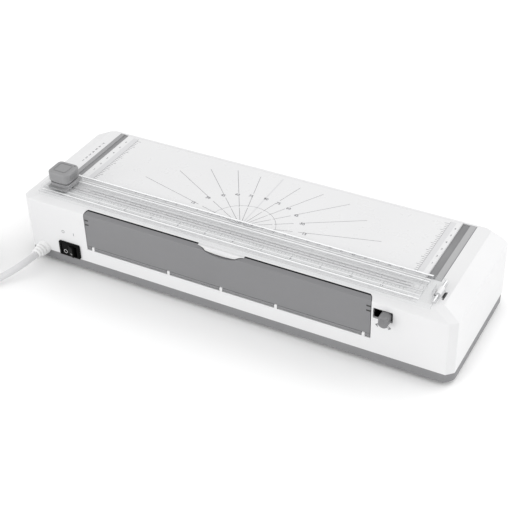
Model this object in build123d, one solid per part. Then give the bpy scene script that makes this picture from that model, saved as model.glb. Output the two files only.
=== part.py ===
from build123d import *
import math
import os

# Pouch laminator for A4 sheets with a paper trimmer on its top deck.
# Frame: +X along the machine, -Y out of its front face, +Z up. The origin is at
# the middle of the footprint, on the surface that the rubber feet stand on.

# ---- driving dimensions, millimetres ----
LENGTH = 390.0
DEPTH = 120.0
KNOB_OUT = 7.0
FOOT_H = 2.5
BASE_H = 9.5
HOUSING_H = 55.0
WALL = 2.2
BEVEL_H = 6.7
BEVEL_FRONT = 9.2
BEVEL_END = 14.6
CORNER = 5.5

FRONT_Y = -(DEPTH - KNOB_OUT) / 2
BACK_Y = FRONT_Y + DEPTH
HALF_L = LENGTH / 2
BASE_Z = FOOT_H
SEAM_Z = FOOT_H + BASE_H
TOP_Z = SEAM_Z + HOUSING_H
BEVEL_Z = TOP_Z - BEVEL_H
ROOF_Z = TOP_Z - 4.4
INNER_FRONT = FRONT_Y + WALL
INNER_BACK = BACK_Y - WALL
FLOOR_Z = BASE_Z + WALL

# Case screws, feet, and the posts of the circuit board
CASE_SCREWS = [(sx * 187.2, y) for sx in (-1, 1) for y in (-43.0, 51.0)]
CASE_SCREWS += [(-140.0, 54.0), (140.0, 54.0)]
FEET = [(sx * 168, y) for sx in (-1, 1) for y in (-40.0, 46.0)]
BOARD_POSTS = [(152, -34), (184, -30), (152, 24), (184, 24)]
BOARD_Z = 9.0

# Mains switch
SWITCH_X = -150.0
SWITCH_Z = 19.5
SWITCH_W = 18.6
SWITCH_TALL = 12.6
BEZEL_OUT = 2.1
ROCKER_Y = FRONT_Y - BEZEL_OUT + 3.6
ROCKER_TILT = 12.0

# Jam release: the stem passes the slot, the grip hangs lower in front of it
KNOB_X0 = 136.8
KNOB_X1 = 144.6
KNOB_Z0 = 46.2
KNOB_Z1 = 54.9
GRIP_Z0 = 44.2
SLIDE_TRAVEL = 6.0
SLOT_X0 = KNOB_X0 - SLIDE_TRAVEL - 0.9
SLOT_X1 = KNOB_X1 + 1.3

# Pouch path and rollers
PATH_Z = 44.0
PATH_HALF = 2.6
ROLLER_R = 8.0
NIP_GAP = 0.4
ROLLER_Y = 2.0
LOWER_Z = PATH_Z - NIP_GAP / 2 - ROLLER_R
UPPER_Z = PATH_Z + NIP_GAP / 2 + ROLLER_R
ROLLER_HALF = 121.0
JOURNAL_R = 3.0
RUN_FIT = 0.05
FRAME_X = 129.0
PLATE_T = 1.5
LIFT = 1.0
BRIDGE_Z = 61.4
THROAT_X0 = -133.0
THROAT_X1 = 130.1
THROAT_BACK = -46.2

# Gears: the two roller gears mesh with each other, the pinion drives the lower one
GEAR_TEETH = 20
PINION_TEETH = 12
GEAR_MODULE = (UPPER_Z - LOWER_Z) / GEAR_TEETH
GEAR_X0 = -143.0
GEAR_W = 6.0
PINION_Y = ROLLER_Y + GEAR_MODULE * (GEAR_TEETH + PINION_TEETH) / 2

# Front flap
FLAP_X0 = -130.8
FLAP_X1 = 127.9
FLAP_GAP = 0.7
FLAP_T = 2.2
FLAP_SET = 0.2
FLAP_TOP = 62.95
HINGE_R = 1.7
HINGE_Y = FRONT_Y + FLAP_SET + HINGE_R
HINGE_Z = 27.1
HINGE_PIN_R = 0.8
LUG_W = 2.4
LUGS_X = [-125.6, -51.2, -1.9, 47.5, 122.5]
NOTCH_X = -1.35
NOTCH_R = 40.06
NOTCH_Z = 97.9
NOTCH_EASE = 9.0
NOTCH_HALF = 24.0

# Trimmer on the deck
CUT_Y = -34.0
BED_X0 = -160.6
BED_X1 = 156.2
BED_Y0 = -48.0
BED_Y1 = 59.2
BED_T = 2.0
RAIL_X0 = -179.2
RAIL_Y0 = -53.4
RAIL_Y1 = -18.1
RAIL_Z0 = TOP_Z + 0.8
RAIL_T = 1.5
RIB_TOP = TOP_Z + 5.0
RAIL_AXIS_X = 173.0
RAIL_AXIS_Z = TOP_Z + 2.8
HEAD_X = -164.0
BLADE_R = 5.5
BLADE_Z = TOP_Z + 1.3 + BLADE_R
STRIP_GROOVE = 1.2
STRIP_Y0 = -19.4
STRIP_Y1 = 59.6
STRIPS_X = {"left_edge_strip": (-169.6, -161.2), "right_edge_strip": (156.8, 167.9)}
STRIP_T = 1.8

# Cutter head
FOOT_X = 9.4
FOOT_Y = 12.1
SKIRT_X = 9.4
SKIRT_Y = 8.9
BODY_X = 7.6
BODY_Y = 7.6
BODY_TOP = TOP_Z + 11.8
CAP_X = 10.3
CAP_Y = 9.7
CAP_Z0 = TOP_Z + 9.0
CAP_Z1 = TOP_Z + 17.6
CAP_WALL = 1.3
CAP_ROOF = CAP_Z1 - 1.6
PRESS_TRAVEL = 2.0
SKIRT_TOP = CAP_Z0 - PRESS_TRAVEL - 0.3
SPRING_Y = 6.2

# Cord: its route from the boot's tip to the coil has one point at each bend
CORD_R = 3.0
CORD_X = -178.4
CORD_Z = SEAM_Z + 1.0
RELIEF_OUT = 13.0
RELIEF_IN = 9.0
CORD_ROUTE = [
    (-178.4, -69.5, 13.0),
    (-179.6, -82.0, 12.7),
    (-185.8, -96.5, 9.4),
    (-197.5, -111.0, 4.4),
    (-211.0, -123.6, 3.05),
    (-223.9, -133.9, 3.05),
]
COIL_CENTRE = (-258.4, -111.2)
TURN_R = [28.0, 34.2, 40.4]
COIL_IN = TURN_R[0] - CORD_R
COIL_OUT = TURN_R[-1] + CORD_R
COIL_H = 12.2
TOP_TURN_H = COIL_H + 2 * CORD_R
PLUG_BEARING = 207.0
PLUG_T = 13.0
PLUG_PIN_R = 2.0
PLUG_PIN_GAP = 18.6

parts = {}


def block(x0, x1, y0, y1, z0, z1):
    """Box between two corners."""
    centre = Pos((x0 + x1) / 2, (y0 + y1) / 2, (z0 + z1) / 2)
    return centre * Box(x1 - x0, y1 - y0, z1 - z0)


def rod_x(r, x0, x1, y, z):
    """Round bar along X."""
    return Pos((x0 + x1) / 2, y, z) * Rot(0, 90, 0) * Cylinder(r, x1 - x0)


def rod_y(r, x, y0, y1, z):
    """Round bar along Y."""
    return Pos(x, (y0 + y1) / 2, z) * Rot(90, 0, 0) * Cylinder(r, y1 - y0)


def rod_z(r, x, y, z0, z1):
    """Round bar along Z."""
    return Pos(x, y, (z0 + z1) / 2) * Cylinder(r, z1 - z0)


def prism_x(points, x0, x1):
    """Outline of (y, z) points carried along X."""
    face = Plane.YZ * make_face(Polyline(*points, close=True))
    return Pos(x0, 0, 0) * extrude(face, x1 - x0)


def prism_y(points, y0, y1):
    """Outline of (x, z) points carried along Y."""
    face = Plane.XZ * make_face(Polyline(*points, close=True))
    return Pos(0, y1, 0) * extrude(face, y1 - y0)


def union(shapes):
    """Fuse a list of solids into one."""
    whole = shapes[0]
    for shape in shapes[1:]:
        whole = whole + shape
    return whole


def save(name, *solids):
    """Keep a node's solids and write its STEP file."""
    flat = []
    for shape in solids:
        flat.extend(shape.solids())
    node = flat[0] if len(flat) == 1 else Compound(children=flat)
    node.label = name
    parts[name] = node
    export_step(node, f"parts/{name}.step")


def octagon(half_x, y0, y1, front_cut, back_cut, z):
    """Plan outline with cut corners, as a face at height z; a cut is (dx, dy)."""
    fx, fy = front_cut
    bx, by = back_cut
    right = [
        (half_x - fx, y0),
        (half_x, y0 + fy),
        (half_x, y1 - by),
        (half_x - bx, y1),
    ]
    left = [(-x, y) for x, y in reversed(right)]
    return Pos(0, 0, z) * make_face(Polyline(*right, *left, close=True))


def window_outline(grow, corner, z0, z1):
    """Front window or flap outline with round top corners, as a solid through the front."""
    low = block(FLAP_X0 - grow, FLAP_X1 + grow, FRONT_Y - 5, FRONT_Y + 9, z0, z1)
    top_edges = low.edges().filter_by(Axis.Y).group_by(Axis.Z)[-1]
    return fillet(top_edges, corner)


def notch_solid(gap):
    """Finger notch: a round bite that eases into the flap's top edge; gap shrinks it evenly."""
    radius = NOTCH_R - gap
    top = FLAP_TOP + gap
    half = math.sqrt(radius ** 2 - (NOTCH_Z - top) ** 2)
    bite = Pos(NOTCH_X, NOTCH_Z) * Circle(radius)
    above = Pos(NOTCH_X, top + NOTCH_R) * Rectangle(2 * NOTCH_R, 2 * NOTCH_R)
    outline = bite + above
    corners = [v for v in outline.vertices() if abs(abs(v.X - NOTCH_X) - half) < 0.01 and v.Y < NOTCH_Z]
    outline = fillet(corners, NOTCH_EASE + gap)
    return Pos(0, FRONT_Y + 12, 0) * extrude(Plane.XZ * outline, 21)


# ---- housing and base ----
def housing_shape():
    """Outer body of the housing: straight walls, then bevels up to the top deck."""
    front_cut = (CORNER, CORNER)
    back_cut = (CORNER, CORNER)
    foot = octagon(HALF_L, FRONT_Y, BACK_Y, front_cut, back_cut, SEAM_Z)
    walls = extrude(foot, BEVEL_Z - SEAM_Z)
    shoulder = octagon(HALF_L, FRONT_Y, BACK_Y, front_cut, back_cut, BEVEL_Z)
    top = octagon(
        HALF_L - BEVEL_END, FRONT_Y + BEVEL_FRONT, BACK_Y - 1.2, (9.5, 3.0), (6.0, 3.0), TOP_Z
    )
    shape = walls + loft([shoulder, top], ruled=True)
    soft = [e for e in shape.edges() if e.center().Z > SEAM_Z + 0.1]
    return fillet(soft, 1.5)


def make_top_housing():
    """White upper shell with its window, slots, deck recesses and screw bosses."""
    outer = housing_shape()
    inner_cut = (CORNER - 0.6, CORNER - 0.6)
    low = octagon(HALF_L - WALL, INNER_FRONT, INNER_BACK, inner_cut, inner_cut, SEAM_Z - 1)
    shoulder_z = BEVEL_Z - 1.1
    high = octagon(HALF_L - WALL, INNER_FRONT, INNER_BACK, inner_cut, inner_cut, shoulder_z)
    rise = ROOF_Z - shoulder_z
    roof = octagon(
        HALF_L - WALL - rise * BEVEL_END / BEVEL_H,
        INNER_FRONT + rise * BEVEL_FRONT / BEVEL_H,
        INNER_BACK,
        (7.0, 3.0),
        (6.0, 3.0),
        ROOF_Z,
    )
    hollow = extrude(low, shoulder_z - SEAM_Z + 1) + loft([high, roof], ruled=True)
    shell = outer - hollow

    # Screw bosses hang from the roof, trimmed to the outer body
    for x, y in CASE_SCREWS:
        boss = rod_z(3.8, x, y, SEAM_Z + 0.1, TOP_Z - 1) & outer
        shell = shell + boss - rod_z(1.3, x, y, SEAM_Z, SEAM_Z + 14)

    # Finger tongue stands in the flap's notch, thickened behind, with a dished face
    notch = notch_solid(FLAP_GAP)
    x0, x1 = NOTCH_X - NOTCH_HALF, NOTCH_X + NOTCH_HALF
    tongue = block(x0, x1, INNER_FRONT - 0.1, INNER_FRONT + 2.5, 57, ROOF_Z + 1)
    shell = shell + (tongue & notch)
    window = window_outline(FLAP_GAP, 3.7, 25.0, FLAP_TOP + FLAP_GAP)
    shell = shell - (window - notch)
    dish_r = 60.0
    shell = shell - Pos(NOTCH_X, FRONT_Y - dish_r + 2.4, 60.5) * Sphere(dish_r)

    # Hinge lugs carry the flap's pin
    for x in LUGS_X:
        x0, x1 = x - LUG_W / 2, x + LUG_W / 2
        lug = rod_x(HINGE_R, x0, x1, HINGE_Y, HINGE_Z)
        lug = lug + block(x0, x1, HINGE_Y - HINGE_R, HINGE_Y + HINGE_R, 22.5, HINGE_Z)
        shell = shell + lug
    shell = shell - rod_x(HINGE_PIN_R, FLAP_X0 - 2, FLAP_X1 + 2, HINGE_Y, HINGE_Z)

    # Switch cut-out, release slot, cord notch and the rear exit slot
    half_w, half_t = SWITCH_W / 2, SWITCH_TALL / 2
    shell = shell - block(
        SWITCH_X - half_w, SWITCH_X + half_w, FRONT_Y - 1, INNER_FRONT + 1,
        SWITCH_Z - half_t, SWITCH_Z + half_t,
    )
    slot = block(SLOT_X0, SLOT_X1, FRONT_Y - 1, INNER_FRONT + 1, KNOB_Z0 - 0.4, KNOB_Z1 + 0.4)
    shell = shell - fillet(slot.edges().filter_by(Axis.Y), 0.8)
    shell = shell - rod_y(4.6, CORD_X, FRONT_Y - 1, INNER_FRONT + 1, CORD_Z)
    exit_half = PATH_HALF + 0.6
    rear = block(-123, 123, INNER_BACK - 1, BACK_Y + 1, PATH_Z - exit_half, PATH_Z + exit_half)
    shell = shell - fillet(rear.edges().filter_by(Axis.Y), 1.5)

    # Deck recesses: bed plate, edge strips, hinge bracket and the slot beside it
    shell = shell - block(
        BED_X0 - 0.15, BED_X1 + 0.15, BED_Y0 - 0.15, BED_Y1 + 0.15, TOP_Z - BED_T, TOP_Z + 1
    )
    for x0, x1 in STRIPS_X.values():
        shell = shell - block(
            x0 - 0.15, x1 + 0.15, STRIP_Y0 - 0.15, STRIP_Y1 + 0.15, TOP_Z - STRIP_T, TOP_Z + 1
        )
    shell = shell - block(168.9, 175.7, -39.1, -28.9, TOP_Z - 2, TOP_Z + 1)
    shell = shell - block(176.4, 177.8, -39.5, -29.5, TOP_Z - 5, TOP_Z + 1)
    # The blade's parking groove runs on from the cutting strip's
    shell = shell - block(-172, BED_X0, CUT_Y - 0.8, CUT_Y + 0.8, TOP_Z - 1.3, TOP_Z + 1)
    save("top_housing", shell)


def make_base_tray():
    """Grey base: a shallow tray with rounded corners, screw bosses and board posts."""
    outer = block(-HALF_L, HALF_L, FRONT_Y, BACK_Y, BASE_Z, SEAM_Z)
    outer = fillet(outer.edges().filter_by(Axis.Z), 10.0)
    outer = chamfer(outer.faces().sort_by(Axis.Z)[0].edges(), 1.6)
    inner = block(
        -HALF_L + WALL, HALF_L - WALL, INNER_FRONT, INNER_BACK, FLOOR_Z, SEAM_Z + 1
    )
    inner = fillet(inner.edges().filter_by(Axis.Z), 8.0)
    tray = outer - inner
    for x, y in CASE_SCREWS:
        tray = tray + rod_z(5.0, x, y, FLOOR_Z - 0.2, SEAM_Z)
        tray = tray - rod_z(3.2, x, y, BASE_Z - 1, BASE_Z + 4.0)
        tray = tray - rod_z(1.7, x, y, BASE_Z, SEAM_Z + 1)
    for x, y in BOARD_POSTS:
        tray = tray + rod_z(2.6, x, y, FLOOR_Z - 0.2, BOARD_Z)
    for x, y in FEET:
        tray = tray - rod_z(7.0, x, y, BASE_Z - 1, BASE_Z + 0.7)
    # Air slots under the heated plates
    for i in range(-4, 5):
        tray = tray - block(i * 14 - 1.5, i * 14 + 1.5, -34, -12, BASE_Z - 1, FLOOR_Z + 1)
    tray = tray - rod_y(4.6, CORD_X, FRONT_Y - 1, INNER_FRONT + 1, CORD_Z)
    save("base_tray", tray)


def make_fasteners_and_feet():
    """Four rubber feet and the six screws that close the case."""
    feet = [rod_z(7.0, x, y, 0, BASE_Z + 0.7) for x, y in FEET]
    feet = [chamfer(f.faces().sort_by(Axis.Z)[0].edges(), 0.8) for f in feet]
    save("rubber_feet", *feet)
    screws = []
    for x, y in CASE_SCREWS:
        head = rod_z(2.8, x, y, BASE_Z + 1.8, BASE_Z + 4.0)
        head = head - rod_z(1.2, x, y, BASE_Z + 1, BASE_Z + 3.0)
        screws.append(head + rod_z(1.3, x, y, BASE_Z + 4.0, SEAM_Z + 10))
    save("case_screws", *screws)


# ---- trimmer deck ----
def make_deck():
    """Bed plate, cutting strip, edge strips and the bracket of the rail's hinge."""
    bed = block(BED_X0, BED_X1, BED_Y0, BED_Y1, TOP_Z - BED_T, TOP_Z)
    bed = bed - block(BED_X0 - 1, BED_X1 - 4, CUT_Y - 3.1, CUT_Y + 3.1, TOP_Z - 1.3, TOP_Z + 1)
    save("trim_bed", bed)
    mat = block(BED_X0 + 0.1, BED_X1 - 4.2, CUT_Y - 2.9, CUT_Y + 2.9, TOP_Z - 1.3, TOP_Z - 0.1)
    groove = STRIP_GROOVE / 2
    mat = mat - block(BED_X0 - 1, BED_X1 - 6, CUT_Y - groove, CUT_Y + groove, TOP_Z - 1.1, TOP_Z)
    save("cutting_strip", mat)
    for name, (x0, x1) in STRIPS_X.items():
        inner, outer = (x1, x0) if x0 < 0 else (x0, x1)
        step = inner + 0.55 * (outer - inner)
        low = block(min(inner, step), max(inner, step), STRIP_Y0, STRIP_Y1,
                    TOP_Z - STRIP_T, TOP_Z - 1.0)
        high = block(min(step, outer), max(step, outer), STRIP_Y0, STRIP_Y1,
                     TOP_Z - STRIP_T, TOP_Z - 0.25)
        save(name, low + high)
    plate = block(169.1, 175.5, -38.9, -29.1, TOP_Z - 2, TOP_Z - 0.1)
    neck = block(171.6, 174.4, -38.4, -29.6, TOP_Z - 1, RAIL_AXIS_Z)
    eye = rod_y(2.1, RAIL_AXIS_X, -38.4, -29.6, RAIL_AXIS_Z)
    bracket = plate + neck + eye - rod_y(1.0, RAIL_AXIS_X, -45, -20, RAIL_AXIS_Z)
    save("rail_hinge_bracket", bracket)
    save("rail_hinge_pin", rod_y(1.0, RAIL_AXIS_X, -47.5, -20.6, RAIL_AXIS_Z))


def make_rail():
    """Clear rail: a flat plate with two lipped ribs that hold the cutter's foot."""
    z0 = RAIL_Z0
    z1 = RAIL_Z0 + RAIL_T
    top = RIB_TOP
    x_end = RAIL_AXIS_X
    rib_in = CUT_Y - 12.6
    rib_out = CUT_Y + 12.6
    lip = 1.0
    profile = [
        (RAIL_Y0, z0 - 1.6),
        (RAIL_Y0 + 1.2, z0 - 1.6),
        (RAIL_Y0 + 1.2, z0),
        (RAIL_Y1, z0),
        (RAIL_Y1, z1 + 0.6),
        (RAIL_Y1 - 0.9, z1 + 0.6),
        (RAIL_Y1 - 0.9, z1),
        (rib_out + 1.3, z1),
        (rib_out + 1.3, top),
        (rib_out - lip, top),
        (rib_out - lip, top - 0.8),
        (rib_out, top - 0.8),
        (rib_out, z1),
        (rib_in, z1),
        (rib_in, top - 0.8),
        (rib_in + lip, top - 0.8),
        (rib_in + lip, top),
        (rib_in - 1.3, top),
        (rib_in - 1.3, z1),
        (RAIL_Y0, z1),
    ]
    rail = prism_x(profile, RAIL_X0, x_end)
    rail = rail + block(RAIL_X0, RAIL_X0 + 1.4, rib_in, rib_out, z0, top)
    rail = rail + block(162.4, x_end, rib_in, rib_out, z0, top)
    for y0, y1 in ((rib_in - 1.3, -38.8), (-29.2, rib_out + 1.3)):
        rail = rail + rod_y(2.1, x_end, y0, y1, RAIL_AXIS_Z)
    # Low guide beads beside the blade slot
    for dy in (-7.0, 6.0):
        rail = rail + block(RAIL_X0 + 1, 162.6, CUT_Y + dy, CUT_Y + dy + 1.0, z1 - 0.1, z1 + 0.3)
    # Round plan corners
    plan = block(RAIL_X0, x_end + 2.1, RAIL_Y0, RAIL_Y1, z0 - 3, top + 1)
    rail = rail & fillet(plan.edges().filter_by(Axis.Z), 3.2)
    # Blade slot, pin hole, and the open end slot that clears the bracket
    rail = rail - block(-176.0, 160.0, CUT_Y - 1.7, CUT_Y + 1.7, z0 - 1, z1 + 1)
    rail = rail - block(168.4, x_end + 3, -38.8, -29.2, z0 - 3, top + 1)
    rail = rail - block(x_end, x_end + 3, RAIL_Y0 - 1, rib_in - 1.3, z0 - 3, top + 1)
    rail = rail - rod_y(1.0 + RUN_FIT, RAIL_AXIS_X, RAIL_Y0 - 1, RAIL_Y1 + 1, RAIL_AXIS_Z)
    save("cutter_rail", rail)


def make_cutter():
    """Cutter head: carriage in the rail, sprung cap, blade wheel on its axle."""
    foot_z = RAIL_Z0 + RAIL_T + 0.7
    foot = block(
        HEAD_X - FOOT_X, HEAD_X + FOOT_X, CUT_Y - FOOT_Y, CUT_Y + FOOT_Y, foot_z, foot_z + 1.0
    )
    foot = fillet(foot.edges().filter_by(Axis.Z), 1.5)
    skirt = block(
        HEAD_X - SKIRT_X, HEAD_X + SKIRT_X, CUT_Y - SKIRT_Y, CUT_Y + SKIRT_Y, foot_z, SKIRT_TOP
    )
    skirt = fillet(skirt.edges().filter_by(Axis.Z), 3.4)
    body = block(
        HEAD_X - BODY_X, HEAD_X + BODY_X, CUT_Y - BODY_Y, CUT_Y + BODY_Y, foot_z, BODY_TOP
    )
    body = fillet(body.edges().filter_by(Axis.Z), 2.6)
    well = block(HEAD_X - 6.3, HEAD_X + 6.3, CUT_Y - 4.6, CUT_Y + 4.6, foot_z - 2, BODY_TOP + 1)
    save("cutter_carriage", foot + skirt + body - well)

    cap = block(HEAD_X - CAP_X, HEAD_X + CAP_X, CUT_Y - CAP_Y, CUT_Y + CAP_Y, CAP_Z0, CAP_Z1)
    cap = fillet(cap.edges().filter_by(Axis.Z), 4.2)
    cap = fillet(cap.faces().sort_by(Axis.Z)[-1].edges(), 1.8)
    room = block(
        HEAD_X - CAP_X + CAP_WALL, HEAD_X + CAP_X - CAP_WALL,
        CUT_Y - CAP_Y + CAP_WALL, CUT_Y + CAP_Y - CAP_WALL, CAP_Z0 - 1, CAP_ROOF,
    )
    room = fillet(room.edges().filter_by(Axis.Z), 3.0)
    cap = cap - room
    # Sunk line round the thumb pad
    pad = block(HEAD_X - 6.4, HEAD_X + 6.4, CUT_Y - 6.2, CUT_Y + 6.2, CAP_Z1 - 0.35, CAP_Z1 + 1)
    pad = fillet(pad.edges().filter_by(Axis.Z), 2.2)
    core = block(HEAD_X - 5.7, HEAD_X + 5.7, CUT_Y - 5.5, CUT_Y + 5.5, CAP_Z1 - 1, CAP_Z1 + 2)
    core = fillet(core.edges().filter_by(Axis.Z), 1.6)
    cap = cap - (pad - core)
    for side in (-1, 1):
        y0, y1 = sorted((CUT_Y + side * 1.6, CUT_Y + side * 3.2))
        cap = cap + block(HEAD_X - 2.4, HEAD_X + 2.4, y0, y1, BLADE_Z - 2.0, CAP_ROOF + 0.2)
    cap = cap - rod_y(1.0, HEAD_X, CUT_Y - 4, CUT_Y + 4, BLADE_Z)
    save("cutter_cap", cap)
    save("blade_axle", rod_y(1.0, HEAD_X, CUT_Y - 3.8, CUT_Y + 3.8, BLADE_Z))
    wheel = rod_y(BLADE_R, HEAD_X, CUT_Y - 0.2, CUT_Y + 0.2, BLADE_Z)
    wheel = wheel + rod_y(2.2, HEAD_X, CUT_Y - 1.2, CUT_Y + 1.2, BLADE_Z)
    save("blade_wheel", wheel - rod_y(1.0 + RUN_FIT, HEAD_X, CUT_Y - 5, CUT_Y + 5, BLADE_Z))
    springs = [
        coil_spring(1.0, 0.2, BODY_TOP, CAP_ROOF, 4, HEAD_X, CUT_Y + side * SPRING_Y)
        for side in (-1, 1)
    ]
    save("press_springs", *springs)


def coil_spring(radius, wire, z0, z1, turns, x, y):
    """Round-wire compression spring standing between two heights."""
    pitch = (z1 - z0 - 2 * wire) / turns
    path = Helix(pitch, z1 - z0 - 2 * wire, radius)
    start = path @ 0
    section = Plane(origin=start, z_dir=path % 0) * Circle(wire)
    return Pos(x, y, z0 + wire) * sweep(section, path=path)


# ---- front flap, switch and release ----
def make_flap():
    """Grey drop-down flap: face, bent top edge, hinge barrel and finger notch."""
    rise = BEVEL_H / BEVEL_FRONT
    run = math.hypot(BEVEL_H, BEVEL_FRONT)
    nose_y, nose_z = BEVEL_FRONT / run, BEVEL_H / run
    face_y = FRONT_Y + FLAP_SET
    crease_z = BEVEL_Z + 0.1
    tip_y = face_y + (FLAP_TOP - crease_z) / rise
    in_y, in_z = nose_z * FLAP_T, -nose_y * FLAP_T
    back_y = face_y + FLAP_T
    back_z = crease_z + in_z + (back_y - face_y - in_y) * rise
    profile = [
        (face_y, HINGE_Z),
        (face_y, crease_z),
        (tip_y, FLAP_TOP),
        (tip_y + in_y, FLAP_TOP + in_z),
        (back_y, back_z),
        (back_y, HINGE_Z),
    ]
    plate = prism_x(profile, FLAP_X0, FLAP_X1)
    crease = [e for e in plate.edges().filter_by(Axis.X) if abs(e.center().Z - crease_z) < 0.2]
    plate = fillet(crease, 1.2)
    plate = plate & window_outline(0, 3.0, 20, FLAP_TOP + 0.01)
    flap = plate + rod_x(HINGE_R, FLAP_X0, FLAP_X1, HINGE_Y, HINGE_Z)
    flap = flap - notch_solid(0)
    line_z = HINGE_Z + HINGE_R
    flap = flap - block(FLAP_X0 - 1, FLAP_X1 + 1, face_y - 1, face_y + 0.3, line_z - 0.2, line_z + 0.3)
    for x in LUGS_X:
        gap = LUG_W / 2 + 0.3
        flap = flap - block(x - gap, x + gap, FRONT_Y - 2, FRONT_Y + 6, HINGE_Z - 3, HINGE_Z + 2.15)
    for end_x, side in ((FLAP_X0, 1), (FLAP_X1, -1)):
        for z in (51.0, 55.4):
            x0, x1 = sorted((end_x - side, end_x + side * 3.6))
            flap = flap - block(x0, x1, face_y - 1, face_y + 0.9, z - 0.5, z + 0.5)
    flap = flap - rod_x(HINGE_PIN_R + RUN_FIT, FLAP_X0 - 1, FLAP_X1 + 1, HINGE_Y, HINGE_Z)
    save("front_flap", flap)
    save("flap_hinge_pin", rod_x(HINGE_PIN_R, FLAP_X0 - 1.5, FLAP_X1 + 1.5, HINGE_Y, HINGE_Z))


def make_switch():
    """Mains rocker switch: snap-in bezel with its body, and the rocker."""
    half_w, half_t = SWITCH_W / 2, SWITCH_TALL / 2
    flange = block(
        SWITCH_X - half_w - 1.2, SWITCH_X + half_w + 1.2, FRONT_Y - BEZEL_OUT, FRONT_Y,
        SWITCH_Z - half_t - 0.6, SWITCH_Z + half_t + 0.6,
    )
    flange = fillet(flange.edges().filter_by(Axis.Y), 1.2)
    flange = chamfer(flange.faces().sort_by(Axis.Y)[0].edges(), 0.6)
    body = block(
        SWITCH_X - half_w, SWITCH_X + half_w, FRONT_Y, -42.0,
        SWITCH_Z - half_t, SWITCH_Z + half_t,
    )
    bezel = flange + body
    bezel = bezel - block(
        SWITCH_X - 8.1, SWITCH_X + 8.1, FRONT_Y - 5, -50.0, SWITCH_Z - 5.1, SWITCH_Z + 5.1
    )
    for i in (-1, 1):
        tab_x = SWITCH_X + i * 5
        bezel = bezel + block(tab_x - 2.4, tab_x + 2.4, -42.0, -36.0, SWITCH_Z - 0.4, SWITCH_Z + 0.4)
    save("switch_bezel", bezel)

    reach = 6.9
    rise = reach * math.tan(math.radians(ROCKER_TILT))
    outline = Polyline(
        (-reach, -3.6 - rise), (0, -3.6), (reach, -3.6 - rise), (5.6, 1.5), (0, 3.2), (-5.6, 1.5),
        close=True,
    )
    rocker = extrude(make_face(outline), 9.6)
    ends = [e for e in rocker.edges().filter_by(Axis.Z) if abs(e.center().X) > reach - 0.1]
    rocker = fillet(ends, 0.8)
    rocker = Pos(0, 0, -4.8) * rocker
    rocker = rocker - rod_z(0.8 + RUN_FIT, 0, 0, -6, 6)
    save("power_rocker", Pos(SWITCH_X, ROCKER_Y, SWITCH_Z) * Rot(0, 0, -ROCKER_TILT) * rocker)
    save("rocker_pin", rod_z(0.8, SWITCH_X, ROCKER_Y, SWITCH_Z - 5.1, SWITCH_Z + 5.1))


def make_release():
    """Jam release: knob, slide plate, arm, and the ramp that lifts the upper roller."""
    grip = block(KNOB_X0, KNOB_X1, FRONT_Y - KNOB_OUT, FRONT_Y - 0.4, GRIP_Z0, KNOB_Z1)
    grip = fillet(grip.edges().filter_by(Axis.Y).group_by(Axis.Z)[-1], 2.2)
    grip = fillet(grip.edges().filter_by(Axis.Y).group_by(Axis.Z)[0], 3.7)
    grip = fillet(grip.faces().sort_by(Axis.Y)[0].edges(), 0.8)
    stem = block(KNOB_X0 + 0.8, KNOB_X1 - 0.8, FRONT_Y - 1, INNER_FRONT + 0.5, KNOB_Z0, KNOB_Z1 - 0.8)
    knob = grip + stem
    plate = block(KNOB_X0, 150, INNER_FRONT + 0.4, INNER_FRONT + 1.9, 43, 58)
    arm = block(146, 150, INNER_FRONT + 1.8, -1.9, 44, 47)
    low, high = UPPER_Z - 5.4, UPPER_Z - 5.4 + LIFT
    ramp = prism_y([(138, 43), (138, low), (144.5, low), (150.5, high), (152, high), (152, 43)], -2, 6)
    save("release_slider", union([knob, plate, arm, ramp]))


# ---- laminating works ----
def gear_solid(teeth, centre_y, centre_z, x0, x1, bore, first_deg):
    """Spur gear with straight-sided teeth; first_deg is one tooth's direction from +Y."""
    pitch_r = GEAR_MODULE * teeth / 2
    root_r = pitch_r - 1.15 * GEAR_MODULE
    tip_r = pitch_r + 0.8 * GEAR_MODULE
    half_root = 0.88 / root_r
    half_tip = 0.30 / tip_r
    points = []
    for i in range(teeth):
        mid = math.radians(first_deg) + i * 2 * math.pi / teeth
        for r, a in ((root_r, -half_root), (tip_r, -half_tip), (tip_r, half_tip), (root_r, half_root)):
            points.append((centre_y + r * math.cos(mid + a), centre_z + r * math.sin(mid + a)))
    gear = prism_x(points, x0, x1)
    if bore > 0:
        gear = gear - rod_x(bore, x0 - 1, x1 + 1, centre_y, centre_z)
    return gear


def make_rollers():
    """Two rubber-covered rollers on stepped steel shafts, with their gears."""
    step = 360 / GEAR_TEETH
    first = {"lower": 0.0, "upper": -90 + step / 2}
    for name, z in (("lower", LOWER_Z), ("upper", UPPER_Z)):
        shaft = rod_x(JOURNAL_R, -146, 133.5, ROLLER_Y, z) + rod_x(5.0, -123, 123, ROLLER_Y, z)
        save(f"{name}_roller_shaft", shaft)
        sleeve = rod_x(ROLLER_R, -ROLLER_HALF, ROLLER_HALF, ROLLER_Y, z)
        save(f"{name}_roller_sleeve", sleeve - rod_x(5.0, -130, 130, ROLLER_Y, z))
        gear = gear_solid(
            GEAR_TEETH, ROLLER_Y, z, GEAR_X0, GEAR_X0 + GEAR_W, JOURNAL_R, first[name]
        )
        save(f"{name}_roller_gear", gear)


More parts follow.
